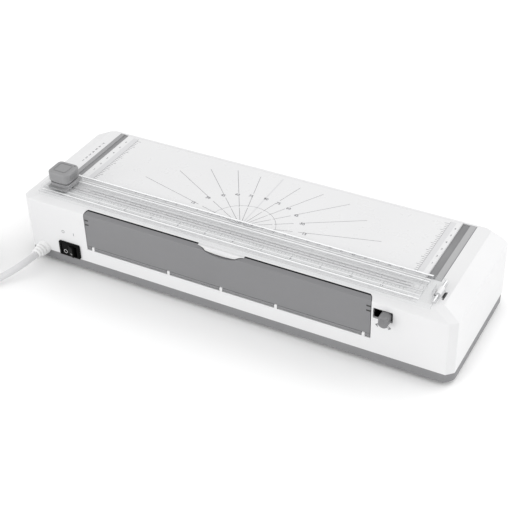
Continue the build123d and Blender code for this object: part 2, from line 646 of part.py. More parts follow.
def make_bushes():
    """Fixed lower bushes, sliding upper bush blocks and the springs above them."""
    lower = []
    for side in (-1, 1):
        x0, x1 = sorted((side * (FRAME_X - 0.8), side * (FRAME_X + 2.3)))
        f0, f1 = sorted((side * (FRAME_X - 0.8), side * FRAME_X))
        bush = rod_x(4.5, x0, x1, ROLLER_Y, LOWER_Z) + rod_x(6.0, f0, f1, ROLLER_Y, LOWER_Z)
        lower.append(bush - rod_x(JOURNAL_R + RUN_FIT, x0 - 1, x1 + 1, ROLLER_Y, LOWER_Z))
    save("lower_bushes", *lower)
    upper, springs, bridges = [], [], []
    for side in (-1, 1):
        solids = []
        for near, far, half in ((127.6, 128.8, 5.0), (128.7, 130.8, 3.45), (130.7, 131.9, 5.0)):
            x0, x1 = sorted((side * near, side * far))
            solids.append(block(x0, x1, ROLLER_Y - half, ROLLER_Y + half, UPPER_Z - 5, UPPER_Z + 5))
        if side > 0:
            solids.append(block(131.8, 144, ROLLER_Y - 3, ROLLER_Y + 3, UPPER_Z - 5, UPPER_Z - 3.4))
        bush = union(solids)
        upper.append(bush - rod_x(JOURNAL_R + RUN_FIT, side * 133 - 9, side * 133 + 9, ROLLER_Y, UPPER_Z))
        spring_x = side * (FRAME_X + PLATE_T / 2)
        springs.append(coil_spring(1.6, 0.3, UPPER_Z + 5, BRIDGE_Z, 3, spring_x, ROLLER_Y))
        x0, x1 = sorted((side * 126.6, side * 132.9))
        bridges.append(block(x0, x1, ROLLER_Y - 6.5, ROLLER_Y + 6.5, BRIDGE_Z, BRIDGE_Z + 1))
    save("upper_bushes", *upper)
    save("pressure_springs", *springs)
    save("spring_bridges", *bridges)


def make_frames():
    """Two steel side plates with round lower holes and open upper slots."""
    for name, side in (("side_frame_left", -1), ("side_frame_right", 1)):
        x0, x1 = sorted((side * FRAME_X, side * (FRAME_X + PLATE_T)))
        plate = block(x0, x1, -36, 24, FLOOR_Z, BRIDGE_Z)
        f0, f1 = sorted((side * FRAME_X, side * (FRAME_X + 9)))
        plate = plate + block(f0, f1, -34, -18, FLOOR_Z, FLOOR_Z + PLATE_T)
        plate = plate + block(f0, f1, 11, 23, FLOOR_Z, FLOOR_Z + PLATE_T)
        plate = plate - rod_x(4.5, x0 - 1, x1 + 1, ROLLER_Y, LOWER_Z)
        plate = plate - block(
            x0 - 1, x1 + 1, ROLLER_Y - 3.6, ROLLER_Y + 3.6, UPPER_Z - 5.6, BRIDGE_Z + 1
        )
        for y in (-26, 17):
            plate = plate - rod_z(1.7, side * (FRAME_X + 5.5), y, 0, 12)
        save(name, plate)
    screws = []
    for side in (-1, 1):
        for y in (-26, 17):
            x = side * (FRAME_X + 5.5)
            z = FLOOR_Z + PLATE_T
            screws.append(rod_z(2.6, x, y, z, z + 1.8) + rod_z(1.5, x, y, FLOOR_Z, z + 0.1))
    save("frame_screws", *screws)


def make_motor():
    """Geared synchronous motor on its bracket, with the pinion on its shaft."""
    can = rod_x(23, -172, -152, PINION_Y, LOWER_Z) + rod_x(5, -153, -150, PINION_Y, LOWER_Z)
    can = can - rod_x(2.0 + RUN_FIT, -160, -149, PINION_Y, LOWER_Z)
    save("gear_motor", can)
    plate = block(-151.9, -150.4, -10, 40, FLOOR_Z, 60)
    plate = plate + block(-151.9, -144, 26, 40, FLOOR_Z, FLOOR_Z + PLATE_T)
    plate = plate - rod_x(5.0, -153, -149, PINION_Y, LOWER_Z)
    save("motor_bracket", plate)
    shaft = rod_x(2.0, -159.5, GEAR_X0 + GEAR_W + 0.5, PINION_Y, LOWER_Z)
    step = 360 / PINION_TEETH
    pinion = gear_solid(
        PINION_TEETH, PINION_Y, LOWER_Z, GEAR_X0 - 0.5, GEAR_X0 + GEAR_W + 0.5, 0, 180 + step / 2
    )
    save("motor_pinion", shaft + pinion)




def make_throat():
    """Feed throat behind the flap, in two mouldings that part at the pouch slot."""
    low_z, high_z = PATH_Z - PATH_HALF, PATH_Z + PATH_HALF
    panel_y = THROAT_BACK - 1.6
    lower = [
        block(THROAT_X0, THROAT_X1, panel_y, THROAT_BACK, 29.6, low_z),
        block(THROAT_X0, THROAT_X1, -53.5, THROAT_BACK, 29.6, 31.0),
        block(-123, 123, THROAT_BACK - 1, -36.3, low_z - 1.6, low_z),
    ]
    upper = [
        block(THROAT_X0, THROAT_X1, panel_y, THROAT_BACK, high_z, 60.6),
        block(THROAT_X0, THROAT_X1, -51.3, THROAT_BACK, 59.2, 60.6),
        block(-123, 123, THROAT_BACK - 1, -36.3, high_z, high_z + 1.6),
    ]
    for x0, x1 in ((THROAT_X0, THROAT_X0 + 1.2), (THROAT_X1 - 1.2, THROAT_X1)):
        lower.append(block(x0, x1, -53.5, THROAT_BACK, 29.6, low_z))
        upper.append(block(x0, x1, -53.5, THROAT_BACK, high_z, 58.0))
    # Cheeks close the slot's ends
    for x0, x1 in ((-127, -123), (123, 127)):
        lower.append(block(x0, x1, panel_y, -36.3, low_z - 1.6, high_z - 0.1))
    save("feed_throat_lower", union(lower))
    save("feed_throat_upper", union(upper))


def make_plates():
    """Heated plates before the rollers and exit guides after them."""
    low_z, high_z = PATH_Z - PATH_HALF, PATH_Z + PATH_HALF
    for name, z0, z1, rib_z in (
        ("lower_heater_plate", low_z - 2.6, low_z, low_z - 6.0),
        ("upper_heater_plate", high_z, high_z + 2.6, high_z + 2.5),
    ):
        plate = block(-128.9, 128.9, -35.6, -8.5, z0, z1)
        for y in (-32, -23, -14):
            plate = plate + block(-118, 118, y, y + 1.6, rib_z, rib_z + 3.5)
        save(name, plate)
    for name, z0 in (("exit_guide_lower", low_z - 1.6), ("exit_guide_upper", high_z)):
        guide = block(-123, 123, 13, INNER_BACK - 0.1, z0, z0 + 1.6)
        rib_z = z0 - 5 if z0 < PATH_Z else z0 + 1.5
        for i in range(-4, 5):
            guide = guide + block(i * 28 - 0.8, i * 28 + 0.8, 16, 58, rib_z, rib_z + 5.1)
        save(name, guide)
    ends = [block(x0, x0 + 3, 13, INNER_BACK - 0.1, low_z - 1.6, high_z + 1.6) for x0 in (-126.1, 123.1)]
    save("exit_guide_ends", *ends)


def make_electrics():
    """Control board, thermostat, terminal block and the lead's tail."""
    board = block(148, 188, -38, 28, BOARD_Z, BOARD_Z + 1.6)
    save("control_board", board)
    top = BOARD_Z + 1.6
    transformer = block(152, 168, -30, -14, top, top + 15)
    capacitor = rod_z(5, 178, -22, top, top + 12)
    relay = block(172, 186, -6, 4, top, top + 10)
    heat_sink = block(152, 170, 4, 8, top, top + 18)
    for i in range(4):
        fin_x = 154.6 + 4 * i
        heat_sink = heat_sink - block(fin_x, fin_x + 1.6, 5.5, 9, top + 1, top + 19)
    save("board_parts", transformer, capacitor, relay, heat_sink)
    seat_z = PATH_Z + PATH_HALF + 2.6
    stat = block(-12, 12, -30, -24, seat_z, seat_z + 1) + rod_z(3.2, 0, -27, seat_z, seat_z + 6.5)
    save("thermostat", stat)
    block_z = FLOOR_Z
    terminals = block(-186, -170, -36, -24, block_z, block_z + 11)
    for i in range(3):
        terminals = terminals - rod_z(1.6, -183 + 5 * i, -30, block_z + 7, block_z + 12)
    save("terminal_block", terminals)
    tail_y = FRONT_Y + RELIEF_IN + 2
    save("lead_tail", rod_y(CORD_R, CORD_X, tail_y, -36, CORD_Z))


# ---- cord ----
def make_strain_relief():
    """Tapered boot that grips the cord where it leaves the front corner."""
    tip_y = FRONT_Y - RELIEF_OUT
    tail_y = FRONT_Y + RELIEF_IN + 2
    # Outline of (distance along the boot from its tip, radius)
    boot = [
        (0.0, 0.0),
        (0.0, 4.1),
        (1.8, 4.5),
        (1.8, 3.6),
        (2.8, 3.7),
        (2.8, 4.7),
        (4.8, 5.1),
        (4.8, 4.0),
        (5.8, 4.1),
        (5.8, 5.3),
        (7.8, 5.6),
        (7.8, 4.4),
        (8.8, 4.5),
        (8.8, 5.8),
        (10.6, 6.0),
        (RELIEF_OUT, 6.3),
        (RELIEF_OUT, 4.6),
        (RELIEF_OUT + WALL, 4.6),
        (RELIEF_OUT + WALL, 6.0),
        (RELIEF_OUT + WALL + 2.0, 6.0),
        (RELIEF_OUT + WALL + 2.0, 3.4),
        (tail_y - tip_y, 3.4),
        (tail_y - tip_y, 0.0),
    ]
    outline = make_face(Polyline(*[(CORD_X + r, tip_y + d) for d, r in boot], close=True))
    axis = Axis((CORD_X, tip_y, 0), (0, 1, 0))
    boot_solid = Pos(0, 0, CORD_Z) * revolve(outline, axis)
    save("strain_relief", boot_solid - block(CORD_X - 9, CORD_X + 9, tip_y - 1, tip_y + 0.35, 0, 30))


def plug_solid():
    """Flat two-pin plug pointing along +X, its cord entry at the origin, and its pins."""
    boot = loft([Plane.YZ * Circle(4.2), Plane.YZ.offset(10) * Circle(5.4)])
    outline = Polyline(
        (9, -6.5), (20, -13.5), (27, -15), (34, -15), (34, 15), (27, 15), (20, 13.5), (9, 6.5),
        close=True,
    )
    body = Pos(0, 0, -PLUG_T / 2) * extrude(make_face(outline), PLUG_T)
    body = fillet(body.edges(), 1.6)
    pins = []
    for side in (-1, 1):
        pin = rod_x(PLUG_PIN_R, 25, 53, side * PLUG_PIN_GAP / 2, 0)
        pins.append(chamfer(pin.faces().sort_by(Axis.X)[-1].edges(), 0.6))
    return boot + body - pins[0] - pins[1], pins


def make_cord():
    """Lead on the table: bent tube, round coil of the spare length, two-pin plug."""
    radii = []
    for before, at, after in zip(CORD_ROUTE, CORD_ROUTE[1:], CORD_ROUTE[2:]):
        run_in = Vector(*at) - Vector(*before)
        run_out = Vector(*after) - Vector(*at)
        turn = math.radians(run_in.get_angle(run_out))
        shorter = min(run_in.length, run_out.length)
        radii.append(0.45 * shorter / math.tan(turn / 2))
    path = FilletPolyline(*CORD_ROUTE, radius=radii)
    section = Plane(origin=path @ 0, z_dir=path % 0) * Circle(CORD_R)
    tube = sweep(section, path=path)
    save("power_cord", tube)

    # Two layers of turns, and the last stretch that climbs over them to the plug
    cx, cy = COIL_CENTRE
    ring = rod_z(COIL_OUT, cx, cy, 0, COIL_H) - rod_z(COIL_IN, cx, cy, -1, COIL_H + 1)
    ring = fillet(ring.edges().filter_by(GeomType.CIRCLE), 2.5)
    middle = TURN_R[1]
    crest = rod_z(middle + CORD_R, cx, cy, COIL_H - 2, TOP_TURN_H)
    crest = crest - rod_z(middle - CORD_R, cx, cy, 0, TOP_TURN_H + 1)
    crest = crest & block(cx + 12, cx + 50, cy - 50, cy + 26, 0, 40)
    bearing = math.radians(PLUG_BEARING)
    start_x = cx - middle * math.sin(bearing)
    start_y = cy + middle * math.cos(bearing)
    place = Pos(start_x, start_y, COIL_H + PLUG_T / 2) * Rot(0, 0, PLUG_BEARING)
    room = Pos(27, 0, PLUG_T / 2 + 0.1) * Box(62, 34, 2 * PLUG_T)
    body, pins = plug_solid()
    plug = place * body
    coil = ring + (crest - place * room) - tube - plug
    save("cord_coil", coil.solids().sort_by(SortBy.VOLUME)[-1])
    save("plug", plug)
    save("plug_pins", *[place * pin for pin in pins])


def main():
    """Build and write every node."""
    os.makedirs("parts", exist_ok=True)
    make_top_housing()
    make_base_tray()
    make_fasteners_and_feet()
    make_deck()
    make_rail()
    make_cutter()
    make_flap()
    make_switch()
    make_release()
    make_rollers()
    make_bushes()
    make_frames()
    make_motor()
    make_throat()
    make_plates()
    make_electrics()
    make_strain_relief()
    make_cord()
    print(len(parts), "nodes")


main()
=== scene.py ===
"""Looks of the pouch laminator: finishes, printed scales, small mouldings and the mains lead.

Every length is in metres in the row frame: +X along the machine, -Y out of its front,
+Z up, with the table top at z = 0.
"""

import logging
import math
from dataclasses import dataclass
from enum import Enum

import bpy
import numpy as np
from mathutils import Euler, Matrix, Vector


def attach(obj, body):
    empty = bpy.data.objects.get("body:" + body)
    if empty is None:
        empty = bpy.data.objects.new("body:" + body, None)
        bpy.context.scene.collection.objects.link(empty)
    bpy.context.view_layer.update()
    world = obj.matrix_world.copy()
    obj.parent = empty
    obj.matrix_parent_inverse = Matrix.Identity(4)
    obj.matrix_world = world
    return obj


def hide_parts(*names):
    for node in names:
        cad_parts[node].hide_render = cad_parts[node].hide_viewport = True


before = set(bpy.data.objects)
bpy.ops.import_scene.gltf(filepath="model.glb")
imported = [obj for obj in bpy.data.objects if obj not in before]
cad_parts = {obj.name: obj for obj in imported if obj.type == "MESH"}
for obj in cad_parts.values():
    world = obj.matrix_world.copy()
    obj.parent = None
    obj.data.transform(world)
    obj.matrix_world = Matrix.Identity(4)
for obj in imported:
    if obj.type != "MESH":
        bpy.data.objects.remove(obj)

LOG = logging.getLogger("laminator")
MM = 0.001
INCH = 25.4
CAPITAL_SHARE = 0.7
LETTER_WEIGHT = 0.03
Socket = bpy.types.NodeSocket


# ---------------------------------------------------------------- surfaces


class Plane(Enum):
    """The way a flat printed mark faces, with the axes it is drawn along."""

    DECK = ((1.0, 0.0, 0.0), (0.0, 1.0, 0.0), (0.0, 0.0, 1.0))
    FRONT = ((1.0, 0.0, 0.0), (0.0, 0.0, 1.0), (0.0, -1.0, 0.0))
    UNDERSIDE = ((1.0, 0.0, 0.0), (0.0, -1.0, 0.0), (0.0, 0.0, -1.0))


def mesh_piece(
    name: str, points: np.ndarray, faces: list, body: str, smooth: bool = False
) -> bpy.types.Object:
    """Makes a mesh object from arrays and lets it ride on a body.

    Args:
        name: Name of the piece.
        points: Array of shape (n, 3) in metres in the row frame.
        faces: Lists or arrays of corner indices, anticlockwise seen from outside.
        body: The CAD body that the piece rides on.
        smooth: True for smooth shading.

    Returns:
        The new object, at the origin.
    """
    mesh = bpy.data.meshes.new(name)
    mesh.from_pydata(np.asarray(points, dtype=float), [], faces)
    mesh.polygons.foreach_set("use_smooth", np.full(len(mesh.polygons), smooth))
    mesh.update()
    piece = bpy.data.objects.new(name, mesh)
    bpy.context.scene.collection.objects.link(piece)
    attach(piece, body)
    return piece


def box_array(
    centres: np.ndarray, halves: np.ndarray, turns: np.ndarray | float = 0.0
) -> tuple[np.ndarray, list]:
    """Corners and faces of many small boxes at once.

    Each corner is its box's centre plus the half sizes, each with either sign, with the
    first two turned about the third axis by the box's angle.

    Args:
        centres: (n, 3) box centres.
        halves: (n, 3) half sizes, or three numbers for boxes of one size.
        turns: (n,) angles in radians, or one angle for all.

    Returns:
        (8n, 3) corners, and the six faces of each box as lists of indices.
    """
    signs = np.array([(x, y, z) for z in (-1, 1) for x, y in ((-1, -1), (1, -1), (1, 1), (-1, 1))])
    local = np.broadcast_to(halves, centres.shape)[:, None, :] * signs[None, :, :]
    angle = np.broadcast_to(turns, len(centres))[:, None]
    cos, sin = np.cos(angle), np.sin(angle)
    across, along, up = local[..., 0], local[..., 1], local[..., 2]
    turned = np.stack((across * cos - along * sin, across * sin + along * cos, up), axis=-1)
    corners = (turned + centres[:, None, :]).reshape(-1, 3)
    quads = np.array(
        [(3, 2, 1, 0), (4, 5, 6, 7), (0, 1, 5, 4), (1, 2, 6, 5), (2, 3, 7, 6), (3, 0, 4, 7)]
    )
    faces = (quads[None] + 8 * np.arange(len(centres))[:, None, None]).reshape(-1, 4)
    return corners, faces.tolist()


def placed(points: np.ndarray, plane: Plane, origin: tuple[float, float, float]) -> np.ndarray:
    """Carries points drawn in a flat mark's own axes to the row frame.

    A point (u, v, w) goes to the origin plus u times the first axis, v times the second
    and w times the outward one.

    Args:
        points: (n, 3) points in the mark's own axes.
        plane: The way the mark faces.
        origin: Where the mark's own origin goes.

    Returns:
        (n, 3) points in the row frame.
    """
    return np.asarray(origin) + np.asarray(points) @ np.array(plane.value)


def ring_faces(rows: int, columns: int) -> list:
    """Quads of a grid of points stored row by row, closed both ways.

    Args:
        rows: Number of rows of points, the last joining the first.
        columns: Number of points in a row, each row being a ring.

    Returns:
        Corner indices, anticlockwise when columns run to the right and rows run up.
    """
    r = np.arange(rows)[:, None]
    c = np.arange(columns)[None, :]
    r1, c1 = (r + 1) % rows, (c + 1) % columns
    quads = np.stack((r * columns + c, r * columns + c1, r1 * columns + c1, r1 * columns + c), axis=-1)
    return quads.reshape(-1, 4).tolist()


def turned_ring(
    profile: np.ndarray, centre: tuple[float, float, float], steps: int
) -> tuple[np.ndarray, list]:
    """Surface of revolution about an upright axis, from a closed outline.

    A point at angle t and outline position (r, h) is the centre plus r cos t and r sin t
    across the axis and h along it.

    Args:
        profile: (n, 2) closed outline of (radius, height), anticlockwise.
        centre: Point on the axis where height is 0.
        steps: Number of steps round.

    Returns:
        Points and faces of the closed ring.
    """
    t = np.linspace(0.0, 2 * math.pi, steps, endpoint=False)[:, None]
    r, h = profile[None, :, 0], profile[None, :, 1]
    grid = np.stack((r * np.cos(t), r * np.sin(t), np.broadcast_to(h, (steps, len(profile)))), axis=-1)
    return grid.reshape(-1, 3) + np.asarray(centre), ring_faces(steps, len(profile))


def flat_ring(radius: float, half_width: float, rise: float) -> tuple[np.ndarray, list]:
    """Thin ring round the origin, lying flat, with a lozenge section.

    Args:
        radius: Radius of the middle of the stroke, in metres.
        half_width: Half the stroke's width.
        rise: Height above and below the origin.

    Returns:
        Points and faces in the mark's own axes.
    """
    corners = np.linspace(0, 2 * math.pi, 4, endpoint=False)
    outline = np.stack((radius + half_width * np.cos(corners), rise * np.sin(corners)), axis=-1)
    return turned_ring(outline, (0.0, 0.0, 0.0), 28)


def joined(parts: list) -> tuple[np.ndarray, list]:
    """Joins (points, faces) pairs into one pair.

    Args:
        parts: The pairs, in order.

    Returns:
        All the points, and the faces with their indices moved on to match.
    """
    points, faces, start = [], [], 0
    for some_points, some_faces in parts:
        points.append(some_points)
        faces.extend([[i + start for i in face] for face in some_faces])
        start += len(some_points)
    return np.concatenate(points), faces


def lettering(text: str, height: float, depth: float) -> tuple[np.ndarray, list]:
    """Flat characters of a number or sign, centred on the origin.

    Args:
        text: Digits or plain signs.
        height: Height of a capital, in metres.
        depth: Thickness above and below the origin.

    Returns:
        Points and faces in the mark's own axes.
    """
    curve = bpy.data.curves.new("glyphs", "FONT")
    curve.body = text
    curve.size = height / CAPITAL_SHARE
    curve.align_x = "CENTER"
    curve.align_y = "CENTER"
    curve.extrude = depth
    curve.offset = height * LETTER_WEIGHT
    curve.resolution_u = 2
    holder = bpy.data.objects.new("glyphs", curve)
    bpy.context.scene.collection.objects.link(holder)
    bpy.context.view_layer.update()
    mesh = bpy.data.meshes.new_from_object(holder.evaluated_get(bpy.context.evaluated_depsgraph_get()))
    points = np.empty(len(mesh.vertices) * 3)
    mesh.vertices.foreach_get("co", points)
    faces = [list(p.vertices) for p in mesh.polygons]
    bpy.data.objects.remove(holder)
    bpy.data.curves.remove(curve)
    bpy.data.meshes.remove(mesh)
    return points.reshape(-1, 3), faces


# ---------------------------------------------------------------- finishes


class NodeWriter:
    """Writes one material's node tree in short calls."""

    def __init__(self, name: str) -> None:
        """Starts an empty material with a Principled surface."""
        self.material = bpy.data.materials.new(name)
        self.material.use_nodes = True
        self.tree = self.material.node_tree
        self.tree.nodes.clear()
        self.output = self.tree.nodes.new("ShaderNodeOutputMaterial")
        self.surface = self.tree.nodes.new("ShaderNodeBsdfPrincipled")
        self.link(self.surface.outputs[0], self.output.inputs["Surface"])
        self.place = self.add("ShaderNodeTexCoord").outputs["Object"]

    def add(self, kind: str, **settings: object) -> bpy.types.Node:
        """Adds a node with properties set by name."""
        node = self.tree.nodes.new(kind)
        for key, value in settings.items():
            setattr(node, key, value)
        return node

    def link(self, source: Socket, target: Socket) -> None:
        """Joins two sockets."""
        self.tree.links.new(source, target)

    def stretched(self, scale: tuple[float, float, float]) -> Socket:
        """Object coordinates multiplied by a scale on each axis."""
        node = self.add("ShaderNodeMapping")
        node.inputs["Scale"].default_value = scale
        self.link(self.place, node.inputs["Vector"])
        return node.outputs["Vector"]

    def noise(
        self, scale: float, detail: float = 2.0, rough: float = 0.5, where: Socket | None = None
    ) -> Socket:
        """Noise from 0 to 1 with about scale lumps to the metre."""
        node = self.add("ShaderNodeTexNoise")
        node.inputs["Scale"].default_value = scale
        node.inputs["Detail"].default_value = detail
        node.inputs["Roughness"].default_value = rough
        self.link(where or self.place, node.inputs["Vector"])
        return node.outputs["Fac"]

    def cells(self, scale: float) -> Socket:
        """Distance to the nearest of about scale random points to the metre."""
        node = self.add("ShaderNodeTexVoronoi")
        node.inputs["Scale"].default_value = scale
        self.link(self.place, node.inputs["Vector"])
        return node.outputs["Distance"]

    def spread(
        self, value: Socket, low: float, high: float, start: float = 0.3, end: float = 0.7
    ) -> Socket:
        """Maps a value from start..end to low..high, held at its ends."""
        node = self.add("ShaderNodeMapRange")
        for key, number in (("From Min", start), ("From Max", end), ("To Min", low), ("To Max", high)):
            node.inputs[key].default_value = number
        self.link(value, node.inputs["Value"])
        return node.outputs["Result"]

    def maths(self, what: str, a: Socket, b: Socket | float) -> Socket:
        """One arithmetic step on a value."""
        node = self.add("ShaderNodeMath", operation=what)
        self.link(a, node.inputs[0])
        if isinstance(b, float):
            node.inputs[1].default_value = b
        else:
            self.link(b, node.inputs[1])
        return node.outputs[0]

    def axis(self, name: str) -> Socket:
        """One of the Object coordinates, "X", "Y" or "Z"."""
        node = self.add("ShaderNodeSeparateXYZ")
        self.link(self.place, node.inputs[0])
        return node.outputs[name]

    def blend(self, factor: Socket, first: tuple | Socket, second: tuple | Socket) -> Socket:
        """Mix of two colours by a factor."""
        node = self.add("ShaderNodeMix", data_type="RGBA")
        self.link(factor, node.inputs["Factor"])
        # Inputs 6 and 7 and output 2 are the colour ones among sockets that share their names
        for socket, colour in ((node.inputs[6], first), (node.inputs[7], second)):
            if isinstance(colour, tuple):
                socket.default_value = (*colour, 1.0)
            else:
                self.link(colour, socket)
        return node.outputs[2]

    def relief(self, height: Socket, depth: float, under: Socket | None = None) -> Socket:
        """Bump of a depth in metres, on top of another bump."""
        node = self.add("ShaderNodeBump")
        node.inputs["Strength"].default_value = 1.0
        node.inputs["Distance"].default_value = depth
        self.link(height, node.inputs["Height"])
        if under is not None:
            self.link(under, node.inputs["Normal"])
        return node.outputs["Normal"]

    def set(self, **values: object) -> None:
        """Sets or links Principled inputs; an underscore in a name stands for a space."""
        for key, value in values.items():
            socket = self.surface.inputs[key.replace("_", " ")]
            if isinstance(value, Socket):
                self.link(value, socket)
            else:
                socket.default_value = (*value, 1.0) if isinstance(value, tuple) else value


def scaled(tint: tuple, share: float) -> tuple:
    """A colour made lighter or darker by a share."""
    return tuple(min(1.0, part * share) for part in tint)


def darker_to_lighter(w: NodeWriter, tone: Socket, tint: tuple, swing: float) -> Socket:
    """A tint that swings either side of itself as a tone goes from low to high.

    Args:
        w: The material's writer.
        tone: Value that drives the swing.
        tint: The middle colour.
        swing: The share by which it is darkened and lightened.

    Returns:
        The colour.
    """
    return w.blend(w.spread(tone, 0.0, 1.0), scaled(tint, 1 - swing), scaled(tint, 1 + swing))


@dataclass(frozen=True)
class MouldedPlastic:
    """Injection-moulded plastic: fine spark grain, faint flow marks and handling marks."""

    name: str
    tint: tuple
    roughness: float = 0.45
    grain: float = 2600.0
    grain_depth: float = 0.000012
    mottle: float = 0.03
    specular: float = 0.5

    def build(self) -> bpy.types.Material:
        """Returns the finished material."""
        w = NodeWriter(self.name)
        cloud = w.noise(14.0, 3.0)
        speck = w.noise(900.0, 1.0)
        tone = w.maths("ADD", w.maths("MULTIPLY", cloud, 0.75), w.maths("MULTIPLY", speck, 0.25))
        colour = darker_to_lighter(w, tone, self.tint, self.mottle)
        rubbed = w.noise(60.0, 4.0, 0.6, w.stretched((1.0, 1.0, 3.0)))
        rough = w.spread(rubbed, self.roughness - 0.06, self.roughness + 0.06)
        flow = w.relief(w.noise(28.0, 1.0), 0.00025)
        grain = w.relief(w.noise(self.grain, 2.0, 0.6), self.grain_depth, flow)
        w.set(Base_Color=colour, Roughness=rough, Normal=grain, Specular_IOR_Level=self.specular)
        return w.material


@dataclass(frozen=True)
class ClearAcrylic:
    """Clear moulded plastic: see-through face on, greyer and glossier where it is seen edge on."""

    name: str
    clear: tuple = (0.99, 0.991, 0.991)
    edge: tuple = (0.6, 0.61, 0.62)
    body: tuple = (0.84, 0.85, 0.86)

    def build(self) -> bpy.types.Material:
        """Returns the finished material."""
        w = NodeWriter(self.name)
        haze = w.noise(220.0, 3.0)
        w.set(
            Base_Color=w.blend(haze, scaled(self.body, 0.97), self.body),
            Roughness=w.spread(haze, 0.06, 0.12),
        )
        slant = w.add("ShaderNodeLayerWeight").outputs["Facing"]
        through = w.add("ShaderNodeBsdfTransparent")
        w.link(w.blend(w.spread(slant, 0.0, 1.0, 0.6, 1.0), self.clear, self.edge), through.inputs["Color"])
        mix = w.add("ShaderNodeMixShader")
        w.link(w.spread(slant, 0.03, 0.5, 0.55, 1.0), mix.inputs[0])
        w.link(through.outputs[0], mix.inputs[1])
        w.link(w.surface.outputs[0], mix.inputs[2])
        w.link(mix.outputs[0], w.output.inputs["Surface"])
        return w.material


@dataclass(frozen=True)
class PrintedInk:
    """Screen-printed ink, slightly uneven in density."""

    name: str
    tint: tuple
    fade: float = 0.25

    def build(self) -> bpy.types.Material:
        """Returns the finished material."""
        w = NodeWriter(self.name)
        patch = w.spread(w.noise(700.0, 3.0), 0.0, 1.0)
        w.set(
            Base_Color=w.blend(patch, self.tint, scaled(self.tint, 1 + self.fade)),
            Roughness=w.spread(patch, 0.4, 0.6),
            Normal=w.relief(w.noise(3000.0), 0.000004),
        )
        return w.material


class Lay(Enum):
    """The way the fine lines of a metal finish run, as a stretch on each axis."""

    ALONG_X = (6.0, 900.0, 900.0)
    ALONG_Y = (900.0, 6.0, 900.0)
    ALL_WAYS = (300.0, 300.0, 300.0)


@dataclass(frozen=True)
class WorkedMetal:
    """Bare, plated or drawn metal with fine tool lines and slight staining."""

    name: str
    tint: tuple
    roughness: float = 0.3
    lay: Lay = Lay.ALL_WAYS
    stain: float = 0.12

    def build(self) -> bpy.types.Material:
        """Returns the finished material."""
        w = NodeWriter(self.name)
        lines = w.noise(1.0, 3.0, 0.6, w.stretched(self.lay.value))
        patch = w.noise(40.0, 3.0)
        tone = w.maths("ADD", w.maths("MULTIPLY", lines, 0.5), w.maths("MULTIPLY", patch, 0.5))
        colour = darker_to_lighter(w, tone, self.tint, self.stain)
        rough = w.spread(lines, self.roughness - 0.07, self.roughness + 0.1)
        w.set(Base_Color=colour, Metallic=1.0, Roughness=rough, Normal=w.relief(lines, 0.00001))
        return w.material


@dataclass(frozen=True)
class SoftRubber:
    """Moulded or ground rubber, dull, with fine pits and dust."""

    name: str
    tint: tuple
    roughness: float = 0.75
    dust: float = 0.25

    def build(self) -> bpy.types.Material:
        """Returns the finished material."""
        w = NodeWriter(self.name)
        dust = w.spread(w.noise(90.0, 4.0, 0.7), 0.0, 1.0, 0.45, 0.75)
        pits = w.cells(1400.0)
        w.set(
            Base_Color=w.blend(dust, self.tint, scaled(self.tint, 1 + self.dust)),
            Roughness=w.spread(pits, self.roughness - 0.1, self.roughness + 0.1, 0.0, 0.8),
            Normal=w.relief(pits, 0.00002),
            Specular_IOR_Level=0.35,
        )
        return w.material


@dataclass(frozen=True)
class RibbedGrip:
    """Grey edge strip with fine moulded ribs across it and a darker inner half."""

    name: str
    inner: tuple
    outer: tuple
    step_x: float
    inner_is_low: bool
    step_blur: float = 0.3 * MM

    def build(self) -> bpy.types.Material:
        """Returns the finished material; the change of tone follows X at step_x."""
        w = NodeWriter(self.name)
        x = w.axis("X")
        side = w.spread(x, 0.0, 1.0, self.step_x - self.step_blur, self.step_x + self.step_blur)
        low, high = (self.inner, self.outer) if self.inner_is_low else (self.outer, self.inner)
        cloud = w.noise(30.0, 3.0)
        base = w.blend(side, low, high)
        colour = w.blend(w.spread(cloud, 0.0, 0.25), base, scaled(self.outer, 1.1))
        wave = w.add("ShaderNodeTexWave", wave_type="BANDS", bands_direction="Y")
        wave.inputs["Scale"].default_value = 260.0
        w.link(w.place, wave.inputs["Vector"])
        ribs = w.relief(wave.outputs["Fac"], 0.00008)
        w.set(
            Base_Color=colour,
            Roughness=w.spread(cloud, 0.5, 0.62),
            Normal=w.relief(w.noise(2400.0), 0.00001, ribs),
        )
        return w.material


@dataclass(frozen=True)
class SolderMask:
    """Green circuit board with straight copper tracks showing through the mask."""

    name: str
    tint: tuple = (0.02, 0.16, 0.08)

    def build(self) -> bpy.types.Material:
        """Returns the finished material."""
        w = NodeWriter(self.name)
        brick = w.add("ShaderNodeTexBrick", offset=0.37, squash=1.0)
        brick.inputs["Scale"].default_value = 160.0
        brick.inputs["Mortar Size"].default_value = 0.12
        brick.inputs["Color1"].default_value = (*self.tint, 1.0)
        brick.inputs["Color2"].default_value = (*scaled(self.tint, 1.15), 1.0)
        brick.inputs["Mortar"].default_value = (*scaled(self.tint, 1.9), 1.0)
        w.link(w.place, brick.inputs["Vector"])
        cloud = w.noise(50.0)
        w.set(
            Base_Color=brick.outputs["Color"],
            Roughness=w.spread(cloud, 0.28, 0.42),
            Normal=w.relief(brick.outputs["Fac"], 0.00003),
        )
        return w.material


def dress(node: str, material: bpy.types.Material) -> None:
    """Gives a CAD node its finish."""
    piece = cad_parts[node]
    if not piece.material_slots:
        piece.data.materials.append(material)
    for holder in piece.material_slots:
        holder.material = material
    LOG.info("dressed %s in %s", node, material.name)


def finish_piece(piece: bpy.types.Object, material: bpy.types.Material) -> None:
    """Gives a new piece its material and reports it."""
    piece.data.materials.append(material)
    LOG.info("made %s: %d faces", piece.name, len(getattr(piece.data, "polygons", [])))


